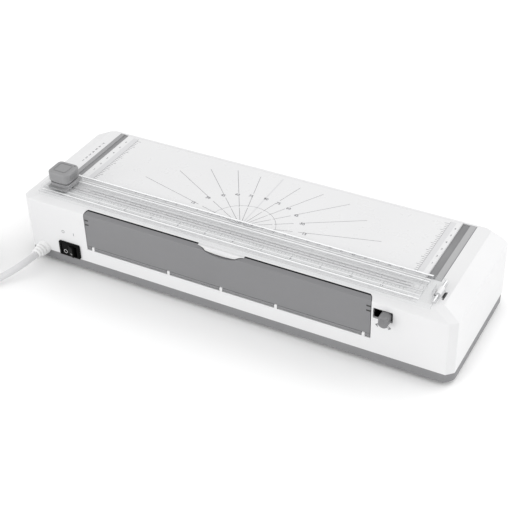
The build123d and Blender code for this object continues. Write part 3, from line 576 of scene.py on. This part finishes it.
def soften(piece: bpy.types.Object, width: float) -> None:
    """Rounds a piece's edges with a small bevel of a width in metres."""
    bevel = piece.modifiers.new("soft_edges", "BEVEL")
    bevel.width = width
    bevel.segments = 2


def strokes(
    x: np.ndarray | float,
    y: np.ndarray | float,
    half_length: np.ndarray | float,
    half_width: np.ndarray | float,
    degrees: np.ndarray | float,
) -> np.ndarray:
    """Rows of straight printed strokes, at least one of the arguments being an array.

    A single number stands for every row.

    Args:
        x: Middle of each stroke across the deck, in millimetres.
        y: Middle of each stroke from front to back.
        half_length: Half the stroke's length.
        half_width: Half its width.
        degrees: Its direction, anticlockwise from X.

    Returns:
        (n, 5) rows in the order of the arguments.
    """
    return np.column_stack(np.broadcast_arrays(x, y, half_length, half_width, degrees))


# ---------------------------------------------------------------- sub-assemblies


@dataclass
class Studio:
    """Pale floor, soft lights and the camera."""

    eye: tuple = (0.3869, -0.6852, 0.6029)
    forward: tuple = (-0.396, 0.701, -0.593)
    roll_deg: float = -2.03
    lens: float = 82.2
    floor_half: float = 6.0
    surroundings: float = 0.86
    lamps: tuple = (
        ("key", (1.2, 1.9, 2.4), 2.0, 28.0),
        ("end_fill", (2.3, 0.4, 1.2), 1.8, 13.4),
        ("front_fill", (-1.6, -2.5, 0.7), 2.0, 35.4),
    )

    def build(self) -> None:
        """Makes the floor, the lights and the camera."""
        self.floor()
        self.lights()
        self.camera()

    def floor(self) -> None:
        """Wide pale floor with faint texture."""
        half = self.floor_half
        points = np.array([(-half, -half, 0), (half, -half, 0), (half, half, 0), (-half, half, 0)])
        mesh = bpy.data.meshes.new("floor")
        mesh.from_pydata(points, [], [(0, 1, 2, 3)])
        floor = bpy.data.objects.new("floor", mesh)
        bpy.context.scene.collection.objects.link(floor)
        w = NodeWriter("pale_floor")
        cloud = w.noise(3.0, 3.0)
        w.set(
            Base_Color=w.blend(cloud, (0.97, 0.97, 0.97), (0.98, 0.98, 0.98)),
            Roughness=w.spread(cloud, 0.75, 0.85),
            Specular_IOR_Level=0.15,
        )
        mesh.materials.append(w.material)

    def lights(self) -> None:
        """White surroundings, a key behind the right end and soft fills at the right and front."""
        scene = bpy.context.scene
        world = bpy.data.worlds.new("surroundings")
        world.use_nodes = True
        background = world.node_tree.nodes["Background"]
        background.inputs["Color"].default_value = (1.0, 1.0, 1.0, 1.0)
        background.inputs["Strength"].default_value = self.surroundings
        scene.world = world
        scene.view_settings.view_transform = "Standard"
        for name, at, size, power in self.lamps:
            lamp = bpy.data.lights.new(name, "AREA")
            lamp.energy = power
            lamp.size = size
            holder = bpy.data.objects.new(name, lamp)
            holder.location = at
            holder.rotation_mode = "QUATERNION"
            holder.rotation_quaternion = (-Vector(at)).to_track_quat("-Z", "Y")
            scene.collection.objects.link(holder)

    def camera(self) -> None:
        """Camera looking down on the front and the right-hand end."""
        forward = Vector(self.forward).normalized()
        right = forward.cross(Vector((0, 0, 1))).normalized()
        up = right.cross(forward)
        roll = math.radians(self.roll_deg)
        side = math.cos(roll) * right + math.sin(roll) * up
        top = -math.sin(roll) * right + math.cos(roll) * up
        lens = bpy.data.cameras.new("camera")
        lens.lens = self.lens
        lens.sensor_width = 36.0
        lens.clip_start = 0.02
        lens.clip_end = 50.0
        camera = bpy.data.objects.new("camera", lens)
        axes = Matrix((side, top, -forward)).transposed()
        camera.matrix_world = Matrix.Translation(Vector(self.eye)) @ axes.to_4x4()
        bpy.context.scene.collection.objects.link(camera)
        bpy.context.scene.camera = camera


@dataclass
class MainsLead:
    """Round lead from the front corner to a neat coil, with a two-pin plug lying on it."""

    diameter: float = 6 * MM
    length: float = 1.4
    route: tuple = (
        (-0.1784, -0.0695, 0.0130),
        (-0.1796, -0.0820, 0.0127),
        (-0.1858, -0.0965, 0.0094),
        (-0.1975, -0.1110, 0.0044),
        (-0.2110, -0.1236, 0.00305),
    )
    centre: tuple = (-0.2584, -0.1112)
    start_deg: float = -33.3
    turns: float = 6.083
    steps_per_turn: int = 16
    outer: float = 40.6 * MM
    pitch: float = 6.2 * MM
    bed_z: float = 3.05 * MM
    layer: float = 6.1 * MM
    last_climb: float = 3.4 * MM

    def coil_points(self) -> list:
        """Control points of the coil's turns.

        The angle falls steadily from its start. The radius steps in by a little more than
        a diameter before the end of the first and second turns, the height steps up once
        at the third, the radius steps out again at the fourth and fifth, and the last
        stretch climbs over the middle turns to the plug.
        """
        count = int(self.turns * self.steps_per_turn)
        t = np.linspace(0.0, self.turns, count + 1)

        def step(at: float, width: float) -> np.ndarray:
            """Smooth rise from 0 to 1 that ends at a turn number."""
            s = np.clip((t - at + width) / width, 0.0, 1.0)
            return s * s * (3 - 2 * s)

        inward = step(0.95, 0.25) + step(1.95, 0.25) - step(3.95, 0.25) - step(4.95, 0.25)
        radius = self.outer - self.pitch * inward
        radius = radius - self.pitch * step(self.turns, 0.3)
        height = self.bed_z + self.layer * step(2.97, 0.3) + self.layer * step(self.turns - 0.05, 0.35)
        height = height + self.last_climb * step(self.turns, 0.1)
        angle = math.radians(self.start_deg) - 2 * math.pi * t
        x = self.centre[0] + radius * np.cos(angle)
        y = self.centre[1] + radius * np.sin(angle)
        return np.stack((x, y, height), axis=-1).tolist()

    def build(self) -> None:
        """Makes the lead as one smooth curve and dresses its boot and plug."""
        vinyl = MouldedPlastic("lead_vinyl", (0.66, 0.66, 0.67), 0.38, 1400.0, 0.000006, 0.02).build()
        curve = bpy.data.curves.new("mains_lead", "CURVE")
        curve.dimensions = "3D"
        curve.bevel_depth = 1.0
        curve.bevel_resolution = 5
        curve.resolution_u = 5
        curve.render_resolution_u = 5
        curve.use_fill_caps = True
        spline = curve.splines.new("NURBS")
        points = [*self.route, *self.coil_points()]
        spline.points.add(len(points) - 1)
        spline.points.foreach_set("co", np.array([(*p, 1.0) for p in points]).ravel())
        # The bevel is one metre times each point's radius, so the points hold the cord's radius
        spline.points.foreach_set("radius", np.full(len(points), self.diameter / 2))
        spline.order_u = 3
        spline.use_endpoint_u = True
        lead = bpy.data.objects.new("mains_lead", curve)
        bpy.context.scene.collection.objects.link(lead)
        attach(lead, "body")
        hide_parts("power_cord", "cord_coil")
        finish_piece(lead, vinyl)
        boot = MouldedPlastic("boot_vinyl", (0.88, 0.88, 0.88), 0.42, 1800.0, 0.00001, 0.03).build()
        dress("strain_relief", boot)
        dress("plug", vinyl)
        dress("plug_pins", WorkedMetal("plated_pins", (0.75, 0.74, 0.71), 0.2, Lay.ALL_WAYS, 0.06).build())
        dress("lead_tail", vinyl)


@dataclass
class Case:
    """White upper shell, grey base tray, feet and closing screws."""

    front_y: float = -56.5 * MM
    mark_rise: float = 0.04 * MM
    power_z: float = 36.2 * MM
    ring_x: float = -155.3 * MM
    bar_x: float = -144.5 * MM
    arrow_spot: tuple = (138.5 * MM, 40.2 * MM)
    arrow_half: float = 5.8 * MM
    barb_half: float = 1.3 * MM
    barb_at: tuple = (5.1 * MM, 0.75 * MM)
    barb_turn: float = 40.0
    arrow_weight: float = 0.4 * MM
    label_spot: tuple = (90 * MM, 25 * MM, 2.5 * MM)
    label_half: tuple = (30 * MM, 14 * MM, 0.1 * MM)

    def build(self) -> None:
        """Dresses the case and adds its printed marks and label plate."""
        shell = MouldedPlastic("shell_white", (0.72, 0.72, 0.725), 0.42, 2600.0, 0.00001, 0.012)
        tray = MouldedPlastic("tray_grey", (0.214, 0.214, 0.22), 0.5, 2200.0, 0.000014, 0.05)
        dress("top_housing", shell.build())
        dress("base_tray", tray.build())
        dress("rubber_feet", SoftRubber("foot_rubber", (0.03, 0.03, 0.03)).build())
        dress("case_screws", WorkedMetal("bright_zinc", (0.6, 0.61, 0.63), 0.3).build())
        ink = PrintedInk("mark_ink", (0.25, 0.25, 0.26), 0.3).build()
        self.power_marks(ink)
        self.release_marks(ink)
        self.label_plate()

    def power_marks(self, ink: bpy.types.Material) -> None:
        """Ring and bar printed above the switch."""
        ring = flat_ring(1.25 * MM, 0.3 * MM, self.mark_rise)
        bar = box_array(np.zeros((1, 3)), (0.35 * MM, 1.35 * MM, self.mark_rise))
        marks = [
            (placed(points, Plane.FRONT, (x, self.front_y, self.power_z)), faces)
            for (points, faces), x in ((ring, self.ring_x), (bar, self.bar_x))
        ]
        finish_piece(mesh_piece("power_marks", *joined(marks), "body"), ink)

    def release_marks(self, ink: bpy.types.Material) -> None:
        """Double-headed arrow printed under the release slide."""
        along, aside = self.barb_at
        barbs = [(side * along, up * aside, 0) for side in (-1, 1) for up in (1, -1)]
        centres = np.array([(0, 0, 0), *barbs])
        lengths = (self.arrow_half, *[self.barb_half] * len(barbs))
        halves = np.array([(half, self.arrow_weight, self.mark_rise) for half in lengths])
        turns = np.radians(np.array([0, 1, -1, -1, 1]) * self.barb_turn)
        points, faces = box_array(centres, halves, turns)
        x, z = self.arrow_spot
        points = placed(points, Plane.FRONT, (x, self.front_y, z))
        finish_piece(mesh_piece("release_arrow", points, faces, "body"), ink)

    def label_plate(self) -> None:
        """Bare silver plate stuck under the base."""
        points, faces = box_array(np.zeros((1, 3)), self.label_half)
        points = placed(points, Plane.UNDERSIDE, self.label_spot)
        plate = mesh_piece("label_plate", points, faces, "body")
        foil = WorkedMetal("label_foil", (0.72, 0.73, 0.74), 0.4, Lay.ALONG_X, 0.05).build()
        finish_piece(plate, foil)


@dataclass
class TrimDeck:
    """White bed with printed scales, the cutting strip, edge strips and rail bracket."""

    top_z: float = 67 * MM
    ink_rise: float = 0.03 * MM
    fan_centre: tuple = (-1.9, -21.3)
    fan_reach: tuple = (
        (15, 114), (30, 102), (45, 94), (60, 81), (75, 73),
        (105, 74), (120, 83), (135, 90), (150, 100), (165, 112),
    )
    ray_breaks: tuple = (3.0, 26.0, 27.5, 43.0, 47.5)
    fan_arc: float = 28.8
    arc_step: float = 4.0
    fan_numbers: tuple = (
        ("15", 49.4, -9.0), ("30", 42.0, 2.7), ("45", 32.2, 11.2), ("60", 22.0, 17.5),
        ("75", 11.0, 20.6), ("90", -1.1, 21.8), ("75", -14.5, 20.6), ("60", -25.6, 17.5),
        ("45", -35.8, 11.2), ("30", -45.6, 2.7), ("15", -53.0, -9.0),
    )
    metric_y: float = -30.6
    inch_x: float = 3.4
    inch_y: float = -37.8
    side_right: float = 147.3
    side_left: float = -149.1
    side_y: float = 20.0
    side_half: float = 37.5

    def build(self) -> None:
        """Dresses the deck's CAD nodes and prints its scales."""
        bed = MouldedPlastic("bed_gloss", (0.72, 0.72, 0.725), 0.3, 900.0, 0.000004, 0.012)
        dress("trim_bed", bed.build())
        mat = MouldedPlastic("strip_mat", (0.68, 0.68, 0.685), 0.6, 1600.0, 0.00001, 0.06)
        dress("cutting_strip", mat.build())
        right = RibbedGrip("right_grip", (0.185, 0.185, 0.19), (0.39, 0.39, 0.395), 0.1629, True)
        dress("right_edge_strip", right.build())
        left = RibbedGrip("left_grip", (0.245, 0.245, 0.25), (0.31, 0.31, 0.315), -0.1658, False)
        dress("left_edge_strip", left.build())
        dress("rail_hinge_bracket", MouldedPlastic("bracket_white", (0.72, 0.72, 0.725), 0.4).build())
        self.hinge_buffers()
        dress("rail_hinge_pin", WorkedMetal("hinge_steel", (0.75, 0.75, 0.76), 0.25, Lay.ALONG_Y).build())
        dark = PrintedInk("scale_ink", (0.16, 0.16, 0.17), 0.4).build()
        pale = PrintedInk("band_ink", (0.62, 0.62, 0.63), 0.03).build()
        self.print_bars("angle_fan", self.fan_bars(), dark)
        self.print_bars("length_scales", self.length_bars(), dark)
        self.print_bars("side_scales", self.side_bars(), dark)
        self.print_bars("side_bands", self.band_bars(), pale)
        self.print_numbers(dark)

    def hinge_buffers(self) -> None:
        """Two thin black rubber pads on the bracket's plate, one each side of the hinge eye."""
        centres = np.array([(170.3, -34.0, 67.1), (176.3, -34.0, 67.15)]) * MM
        halves = np.array([(0.65, 3.2, 0.3), (0.55, 3.2, 0.25)]) * MM
        points, faces = box_array(centres, halves)
        pads = mesh_piece("hinge_buffers", points, faces, "body")
        finish_piece(pads, SoftRubber("buffer_rubber", (0.02, 0.02, 0.02)).build())

    def print_bars(self, name: str, bars: np.ndarray, ink: bpy.types.Material) -> None:
        """Prints straight strokes on the deck.

        Args:
            name: Name of the piece.
            bars: Rows as strokes() gives them.
            ink: The print's material.
        """
        count = len(bars)
        centres = np.column_stack((bars[:, :2], np.zeros(count))) * MM
        halves = np.column_stack((bars[:, 2:4] * MM, np.full(count, self.ink_rise)))
        points, faces = box_array(centres, halves, np.radians(bars[:, 4]))
        points = placed(points, Plane.DECK, (0, 0, self.top_z))
        finish_piece(mesh_piece(name, points, faces, "body"), ink)

    def fan_bars(self) -> np.ndarray:
        """Rays every 15 degrees from one point, broken into dashes past the numbers, and their arc."""
        x, y = self.fan_centre
        rays = []
        for degrees, reach in self.fan_reach:
            cuts = np.array([*self.ray_breaks, reach])
            starts, ends = cuts[::2], cuts[1::2]
            middle, half = (starts + ends) / 2, (ends - starts) / 2
            angle = math.radians(degrees)
            along, up = middle * math.cos(angle), middle * math.sin(angle)
            rays.append(strokes(x + along, y + up, half, 0.17, degrees))
        around = np.radians(np.arange(self.arc_step / 2, 179.0, self.arc_step))
        dash = self.fan_arc * math.radians(self.arc_step / 2)
        along, up = self.fan_arc * np.cos(around), self.fan_arc * np.sin(around)
        arc = strokes(x + along, y + up, dash, 0.12, np.degrees(around) + 90)
        return np.concatenate([*rays, arc])

    def length_bars(self) -> np.ndarray:
        """Centimetre ticks behind the rail and inch ticks under it, longer at each whole mark."""
        tenth = np.arange(-140, 146)
        half = np.where(tenth % 10 == 6, 1.6, np.where(tenth % 5 == 1, 1.1, 0.7))
        metric = strokes(tenth, self.metric_y - half, half, 0.09, 90.0)
        eighth = np.arange(-44, 46)
        half = np.where(eighth % 8 == 0, 1.8, np.where(eighth % 4 == 0, 1.3, 0.8))
        inch = strokes(self.inch_x + eighth * INCH / 8, self.inch_y - half, half, 0.1, 90.0)
        base_y, base_half = np.array([-30.5, -37.7, -44.6]), np.array([149.0, 149.0, 152.0])
        base = strokes(0.0, base_y, base_half, np.array([0.1, 0.1, 0.14]), 0.0)
        return np.concatenate([metric, inch, base])

    def side_bars(self) -> np.ndarray:
        """Ticks down both sides of the bed every 2.5 mm, each fourth one longer, and their lines."""
        rows = np.arange(-16.0, 56.5, 2.5)
        half = np.where(np.arange(len(rows)) % 4 == 0, 2.1, 1.3)
        edges = np.array([self.side_right, self.side_left])
        right = strokes(self.side_right - half, rows, half, 0.2, 0.0)
        left = strokes(self.side_left + half, rows, half, 0.2, 0.0)
        lines = strokes(edges, self.side_y, self.side_half, 0.12, 90.0)
        outer_line = strokes(np.array([168.3]), 20.1, 39.6, 0.28, 90.0)
        return np.concatenate([right, left, lines, outer_line])

    def band_bars(self) -> np.ndarray:
        """Pale tone bands: beside the side ticks, and the fan's upright ray."""
        sides = strokes(np.array([149.7, -151.8]), self.side_y, self.side_half, np.array([2.3, 2.6]), 90.0)
        ray = strokes(np.array([self.fan_centre[0]]), 19.0, 36.0, 0.6, 90.0)
        return np.concatenate([sides, ray])

    def print_numbers(self, ink: bpy.types.Material) -> None:
        """Plain numbers on the scales."""
        parts = []

        def put(text: str, x: float, y: float, height: float) -> None:
            """Adds one number, centred at x, y in millimetres."""
            points, faces = lettering(text, height * MM, self.ink_rise)
            parts.append((placed(points, Plane.DECK, (x * MM, y * MM, self.top_z)), faces))

        for text, x, y in self.fan_numbers:
            put(text, x, y, 2.9)
        for centimetres in range(-10, 15):
            put(str(centimetres + 12), -4.1 + 10 * centimetres, -17.0, 1.9)
        for inches in range(-5, 6):
            put(str(inches + 6), self.inch_x + INCH * inches, -42.6, 2.2)
        for row in range(6):
            put(str(row + 1), 153.9, -0.5 + 10 * row, 2.0)
            put(str(row + 1), -157.1, -1.5 + 10 * row, 2.0)
        for row in range(7):
            put(str(row + 1), -174.3, 6.4 + 5.15 * row, 2.7)
        finish_piece(mesh_piece("scale_numbers", *joined(parts), "body"), ink)


@dataclass
class CutterRail:
    """Clear moulded rail on its hinge, with thin lines of painted highlight and painted shade along its top
    where its fine ribs catch the light.
    """

    start_x: float = -177.0
    end_x: float = 162.0
    plate_z: float = 69.3
    line_rise: float = 0.06
    # Painted highlights: pale lines where the rail's back rim and fine ribs catch the light.
    painted_highlight_lines: tuple = (
        (-18.9, 0.75, 0.62), (-23.6, 0.3, 0.0), (-26.2, 0.4, 0.0), (-44.2, 0.2, 0.0), (-48.4, 0.5, 0.0)
    )
    # Painted shade: dark lines along the rib edges, the first being the rail's shadow on the deck just
    # behind its back edge.
    painted_shade_lines: tuple = (
        (-17.8, 0.25, 0.3), (-19.9, 0.16, 0.0), (-25.0, 0.12, 0.0), (-28.6, 0.12, 0.0), (-30.3, 0.12, 0.0),
        (-37.6, 0.12, 0.0), (-39.6, 0.18, 0.0), (-50.2, 0.14, 0.0), (-53.1, 0.12, 0.0),
    )

    def build(self) -> None:
        """Dresses the rail and lays on it pale lines of painted highlight and dark lines of painted shade.
        """
        dress("cutter_rail", ClearAcrylic("rail_acrylic").build())
        # Near-white finish for the painted highlight lines and mid grey for the painted shade lines.
        bright = MouldedPlastic("painted_highlight_white", (0.93, 0.93, 0.935), 0.25, 1800.0, 0.000004, 0.02).build()
        shade = MouldedPlastic("painted_shade_grey", (0.42, 0.42, 0.43), 0.35, 1800.0, 0.000004, 0.05).build()
        self.lines("rail_painted_highlight_lines", self.painted_highlight_lines, bright)
        self.lines("rail_painted_shade_lines", self.painted_shade_lines, shade)

    def lines(self, name: str, rows: tuple, finish: bpy.types.Material) -> None:
        """Lays straight lines along the rail.

        Args:
            name: Name of the piece.
            rows: (y, half width, height over the plate) of each line, in millimetres.
            finish: The lines' material.
        """
        table = np.array(rows)
        count = len(table)
        middle, half = (self.start_x + self.end_x) / 2, (self.end_x - self.start_x) / 2
        centres = np.column_stack((np.full(count, middle), table[:, 0], self.plate_z + table[:, 2])) * MM
        halves = np.column_stack((np.full(count, half), table[:, 1], np.full(count, self.line_rise))) * MM
        points, faces = box_array(centres, halves)
        finish_piece(mesh_piece(name, points, faces, "rail"), finish)


@dataclass
class CutterHead:
    """Sliding carriage with its sprung thumb cap and rotary blade."""

    head_x: float = -0.164
    cut_y: float = -0.034
    cap_half_x: float = 10.3 * MM
    cap_low: float = 76.4 * MM
    cap_high: float = 82.0 * MM
    cap_top: float = 84.6 * MM
    rib_pitch: float = 1.1
    rib_reach: float = 4.4
    dot_spot: tuple = (7.4 * MM, 6.6 * MM)

    def build(self) -> None:
        """Dresses the head and adds the grip ribs and the sight dot."""
        cap = MouldedPlastic("cap_grey", (0.255, 0.255, 0.26), 0.45, 2400.0, 0.000014, 0.05).build()
        dress("cutter_cap", cap)
        carriage = MouldedPlastic("carriage_grey", (0.3, 0.3, 0.305), 0.5, 2400.0, 0.000014, 0.05)
        dress("cutter_carriage", carriage.build())
        dress("blade_axle", WorkedMetal("axle_steel", (0.55, 0.55, 0.56), 0.22, Lay.ALONG_Y).build())
        dress("blade_wheel", WorkedMetal("blade_steel", (0.68, 0.69, 0.7), 0.18).build())
        dress("press_springs", WorkedMetal("press_wire", (0.5, 0.5, 0.51), 0.3).build())
        self.grip_ribs(cap)
        self.sight_dot()

    def grip_ribs(self, material: bpy.types.Material) -> None:
        """Upright ribs on both end faces of the cap, where the fingers push."""
        rows = np.arange(-self.rib_reach, self.rib_reach + 0.01, self.rib_pitch) * MM + self.cut_y
        middle, half = (self.cap_low + self.cap_high) / 2, (self.cap_high - self.cap_low) / 2
        ends = (self.head_x - self.cap_half_x, self.head_x + self.cap_half_x)
        centres = np.array([(x, y, middle) for x in ends for y in rows])
        points, faces = box_array(centres, (0.25 * MM, 0.27 * MM, half))
        ribs = mesh_piece("cap_grip_ribs", points, faces, "cap")
        soften(ribs, 0.12 * MM)
        finish_piece(ribs, material)

    def sight_dot(self) -> None:
        """Small dark dot moulded in the cap's right-hand corner."""
        outline = np.array([(0.0, -0.05), (0.55, -0.05), (0.55, 0.03), (0.0, 0.05)]) * MM
        centre = (self.head_x + self.dot_spot[0], self.cut_y + self.dot_spot[1], self.cap_top)
        points, faces = turned_ring(outline, centre, 20)
        dot = mesh_piece("cap_sight_dot", points, faces, "cap", True)
        finish_piece(dot, PrintedInk("dot_ink", (0.03, 0.03, 0.03)).build())


@dataclass
class FrontFlap:
    """Grey drop-down flap with feed ribs inside and short slots at its upper corners, darkened with painted
    shade.
    """

    left_x: float = -130.8
    right_x: float = 127.9
    inner_y: float = -54.1
    rib_reach: float = 112.0
    rib_pitch: float = 16.0
    rib_z: float = 44.0
    rib_half: tuple = (0.5, 0.5, 11.0)
    notch_x: float = -1.35
    notch_clear: float = 24.0
    slot_rows: tuple = (51.0, 55.4)
    slot_length: float = 3.6
    slot_y: float = -56.0
    # Half size of each black box of painted shade set in a slot.
    painted_shade_half: tuple = (1.75, 0.33, 0.7)

    def build(self) -> None:
        """Dresses the flap and adds the ribs that guide a pouch once it is down."""
        grey = MouldedPlastic("flap_grey", (0.199, 0.199, 0.205), 0.42, 2400.0, 0.000012, 0.03).build()
        dress("front_flap", grey)
        dress("flap_hinge_pin", WorkedMetal("flap_pin_steel", (0.5, 0.5, 0.51), 0.25, Lay.ALONG_X).build())
        x = np.arange(-self.rib_reach, self.rib_reach + 1, self.rib_pitch)
        x = x[np.abs(x - self.notch_x) > self.notch_clear]
        centres = np.column_stack((x, np.full(len(x), self.inner_y), np.full(len(x), self.rib_z))) * MM
        points, faces = box_array(centres, np.array(self.rib_half) * MM)
        ribs = mesh_piece("flap_feed_ribs", points, faces, "flap")
        soften(ribs, 0.3 * MM)
        finish_piece(ribs, grey)
        self.slot_shades()

    def slot_shades(self) -> None:
        """Black boxes that fill the short slots at the flap's upper corners and lap their edges, as painted
        shade for the slots' dark inside.
        """
        half = self.slot_length / 2
        ends = (self.left_x + half, self.right_x - half)
        centres = np.array([(x, self.slot_y, z) for x in ends for z in self.slot_rows]) * MM
        points, faces = box_array(centres, np.array(self.painted_shade_half) * MM)
        shades = mesh_piece("flap_slot_shades", points, faces, "flap")
        finish_piece(shades, PrintedInk("slot_painted_shade", (0.02, 0.02, 0.02)).build())


@dataclass
class PowerSwitch:
    """Black rocker switch with white on and off marks."""

    centre: tuple = (-0.150, -0.0550, 0.0195)
    tilt_deg: float = -12.0
    face_slope: float = 12.0
    face_y: float = -3.6 * MM
    mark_drop: float = -2.0 * MM
    ring_along: float = 2.9 * MM
    bar_along: float = 4.4 * MM

    def build(self) -> None:
        """Dresses the switch and marks the rocker's two faces."""
        bezel = MouldedPlastic("bezel_black", (0.003, 0.003, 0.003), 0.4, 2000.0, 0.000006, 0.1, 0.07)
        rocker = MouldedPlastic("rocker_black", (0.004, 0.004, 0.004), 0.38, 2000.0, 0.000006, 0.1, 0.07)
        dress("switch_bezel", bezel.build())
        dress("power_rocker", rocker.build())
        dress("rocker_pin", WorkedMetal("rocker_steel", (0.5, 0.5, 0.51), 0.25).build())
        self.marks()

    def marks(self) -> None:
        """Ring on the left face of the rocker and bar on the right face.

        Each mark is drawn flat, stood on its sloping face and turned with the rocker's
        tilt. Each face comes forward by its slope from the rocker's middle to its end.
        """
        ring = flat_ring(1.6 * MM, 0.22 * MM, 0.05 * MM)
        bar = box_array(np.zeros((1, 3)), np.array((1.3, 0.28, 0.05)) * MM)
        slope = math.radians(self.face_slope)
        tilt = np.array(Euler((0, 0, math.radians(self.tilt_deg))).to_matrix())
        parts = []
        for (points, faces), side, along in ((ring, -1, self.ring_along), (bar, 1, self.bar_along)):
            flat = placed(points, Plane.FRONT, (0, 0, 0))
            lean = np.array(Euler((0, 0, -side * slope)).to_matrix())
            seat = np.array((side * along, self.face_y - along * math.tan(slope), self.mark_drop))
            parts.append(((flat @ lean.T + seat) @ tilt.T + np.array(self.centre), faces))
        white = PrintedInk("switch_marks_white", (0.5, 0.5, 0.5), 0.1).build()
        finish_piece(mesh_piece("rocker_marks", *joined(parts), "rocker"), white)


@dataclass
class ReleaseSlide:
    """Grey sliding knob that lifts the upper roller."""

    rib_x: float = 140.7 * MM
    rib_y: float = -63.45 * MM
    rib_z: float = 50.55 * MM
    rib_pitch: float = 1.6 * MM
    rib_half: tuple = (0.3 * MM, 0.3 * MM, 2.2 * MM)

    def build(self) -> None:
        """Dresses the slide and adds finger ribs to its face."""
        grey = MouldedPlastic("release_grey", (0.187, 0.187, 0.192), 0.42, 2400.0, 0.000012, 0.05).build()
        dress("release_slider", grey)
        centres = np.array([(self.rib_x + k * self.rib_pitch, self.rib_y, self.rib_z) for k in (-1, 0, 1)])
        points, faces = box_array(centres, self.rib_half)
        ribs = mesh_piece("release_ribs", points, faces, "release")
        soften(ribs, 0.15 * MM)
        finish_piece(ribs, grey)


@dataclass
class LaminatingWorks:
    """Rollers, gears, frames, heated plates, motor and electrics inside the case."""

    def build(self) -> None:
        """Dresses every inner node."""
        steel = WorkedMetal("roller_steel", (0.56, 0.56, 0.57), 0.25, Lay.ALONG_X).build()
        for node in ("lower_roller_shaft", "upper_roller_shaft", "motor_pinion"):
            dress(node, steel)
        silicone = SoftRubber("roller_silicone", (0.32, 0.05, 0.035), 0.6, 0.3).build()
        for node in ("lower_roller_sleeve", "upper_roller_sleeve"):
            dress(node, silicone)
        nylon = MouldedPlastic("gear_nylon", (0.74, 0.72, 0.66), 0.45, 1500.0, 0.00001, 0.04).build()
        for node in ("lower_roller_gear", "upper_roller_gear", "upper_bushes"):
            dress(node, nylon)
        dress("lower_bushes", WorkedMetal("bush_bronze", (0.55, 0.38, 0.18), 0.4).build())
        dress("pressure_springs", WorkedMetal("spring_wire", (0.48, 0.48, 0.49), 0.3).build())
        sheet = WorkedMetal("zinc_sheet", (0.56, 0.57, 0.58), 0.38, Lay.ALL_WAYS, 0.15).build()
        for node in ("spring_bridges", "side_frame_left", "side_frame_right", "motor_bracket"):
            dress(node, sheet)
        dress("frame_screws", WorkedMetal("frame_zinc", (0.6, 0.6, 0.62), 0.3).build())
        dress("gear_motor", WorkedMetal("motor_can", (0.46, 0.46, 0.47), 0.35).build())
        throat = MouldedPlastic("throat_black", (0.022, 0.022, 0.023), 0.5, 1800.0, 0.000014, 0.1).build()
        for node in ("feed_throat_lower", "feed_throat_upper"):
            dress(node, throat)
        for end in ("lower", "upper", "ends"):
            dress(f"exit_guide_{end}", throat)
        plate = WorkedMetal("heater_aluminium", (0.7, 0.7, 0.71), 0.32, Lay.ALONG_X, 0.08).build()
        for node in ("lower_heater_plate", "upper_heater_plate"):
            dress(node, plate)
        dress("control_board", SolderMask("board_mask").build())
        parts = MouldedPlastic("component_black", (0.03, 0.03, 0.032), 0.4, 900.0, 0.00001, 0.15)
        dress("board_parts", parts.build())
        dress("thermostat", MouldedPlastic("thermostat_black", (0.04, 0.038, 0.036), 0.45).build())
        dress("terminal_block", MouldedPlastic("terminal_nylon", (0.68, 0.68, 0.65), 0.45).build())


def main() -> None:
    """Builds every sub-assembly."""
    logging.basicConfig(level=logging.INFO, format="%(name)s: %(message)s")
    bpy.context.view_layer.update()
    for assembly in (
        Studio(),
        MainsLead(),
        Case(),
        TrimDeck(),
        CutterRail(),
        CutterHead(),
        FrontFlap(),
        PowerSwitch(),
        ReleaseSlide(),
        LaminatingWorks(),
    ):
        assembly.build()
    bpy.context.view_layer.update()


if __name__ == "__main__":
    main()
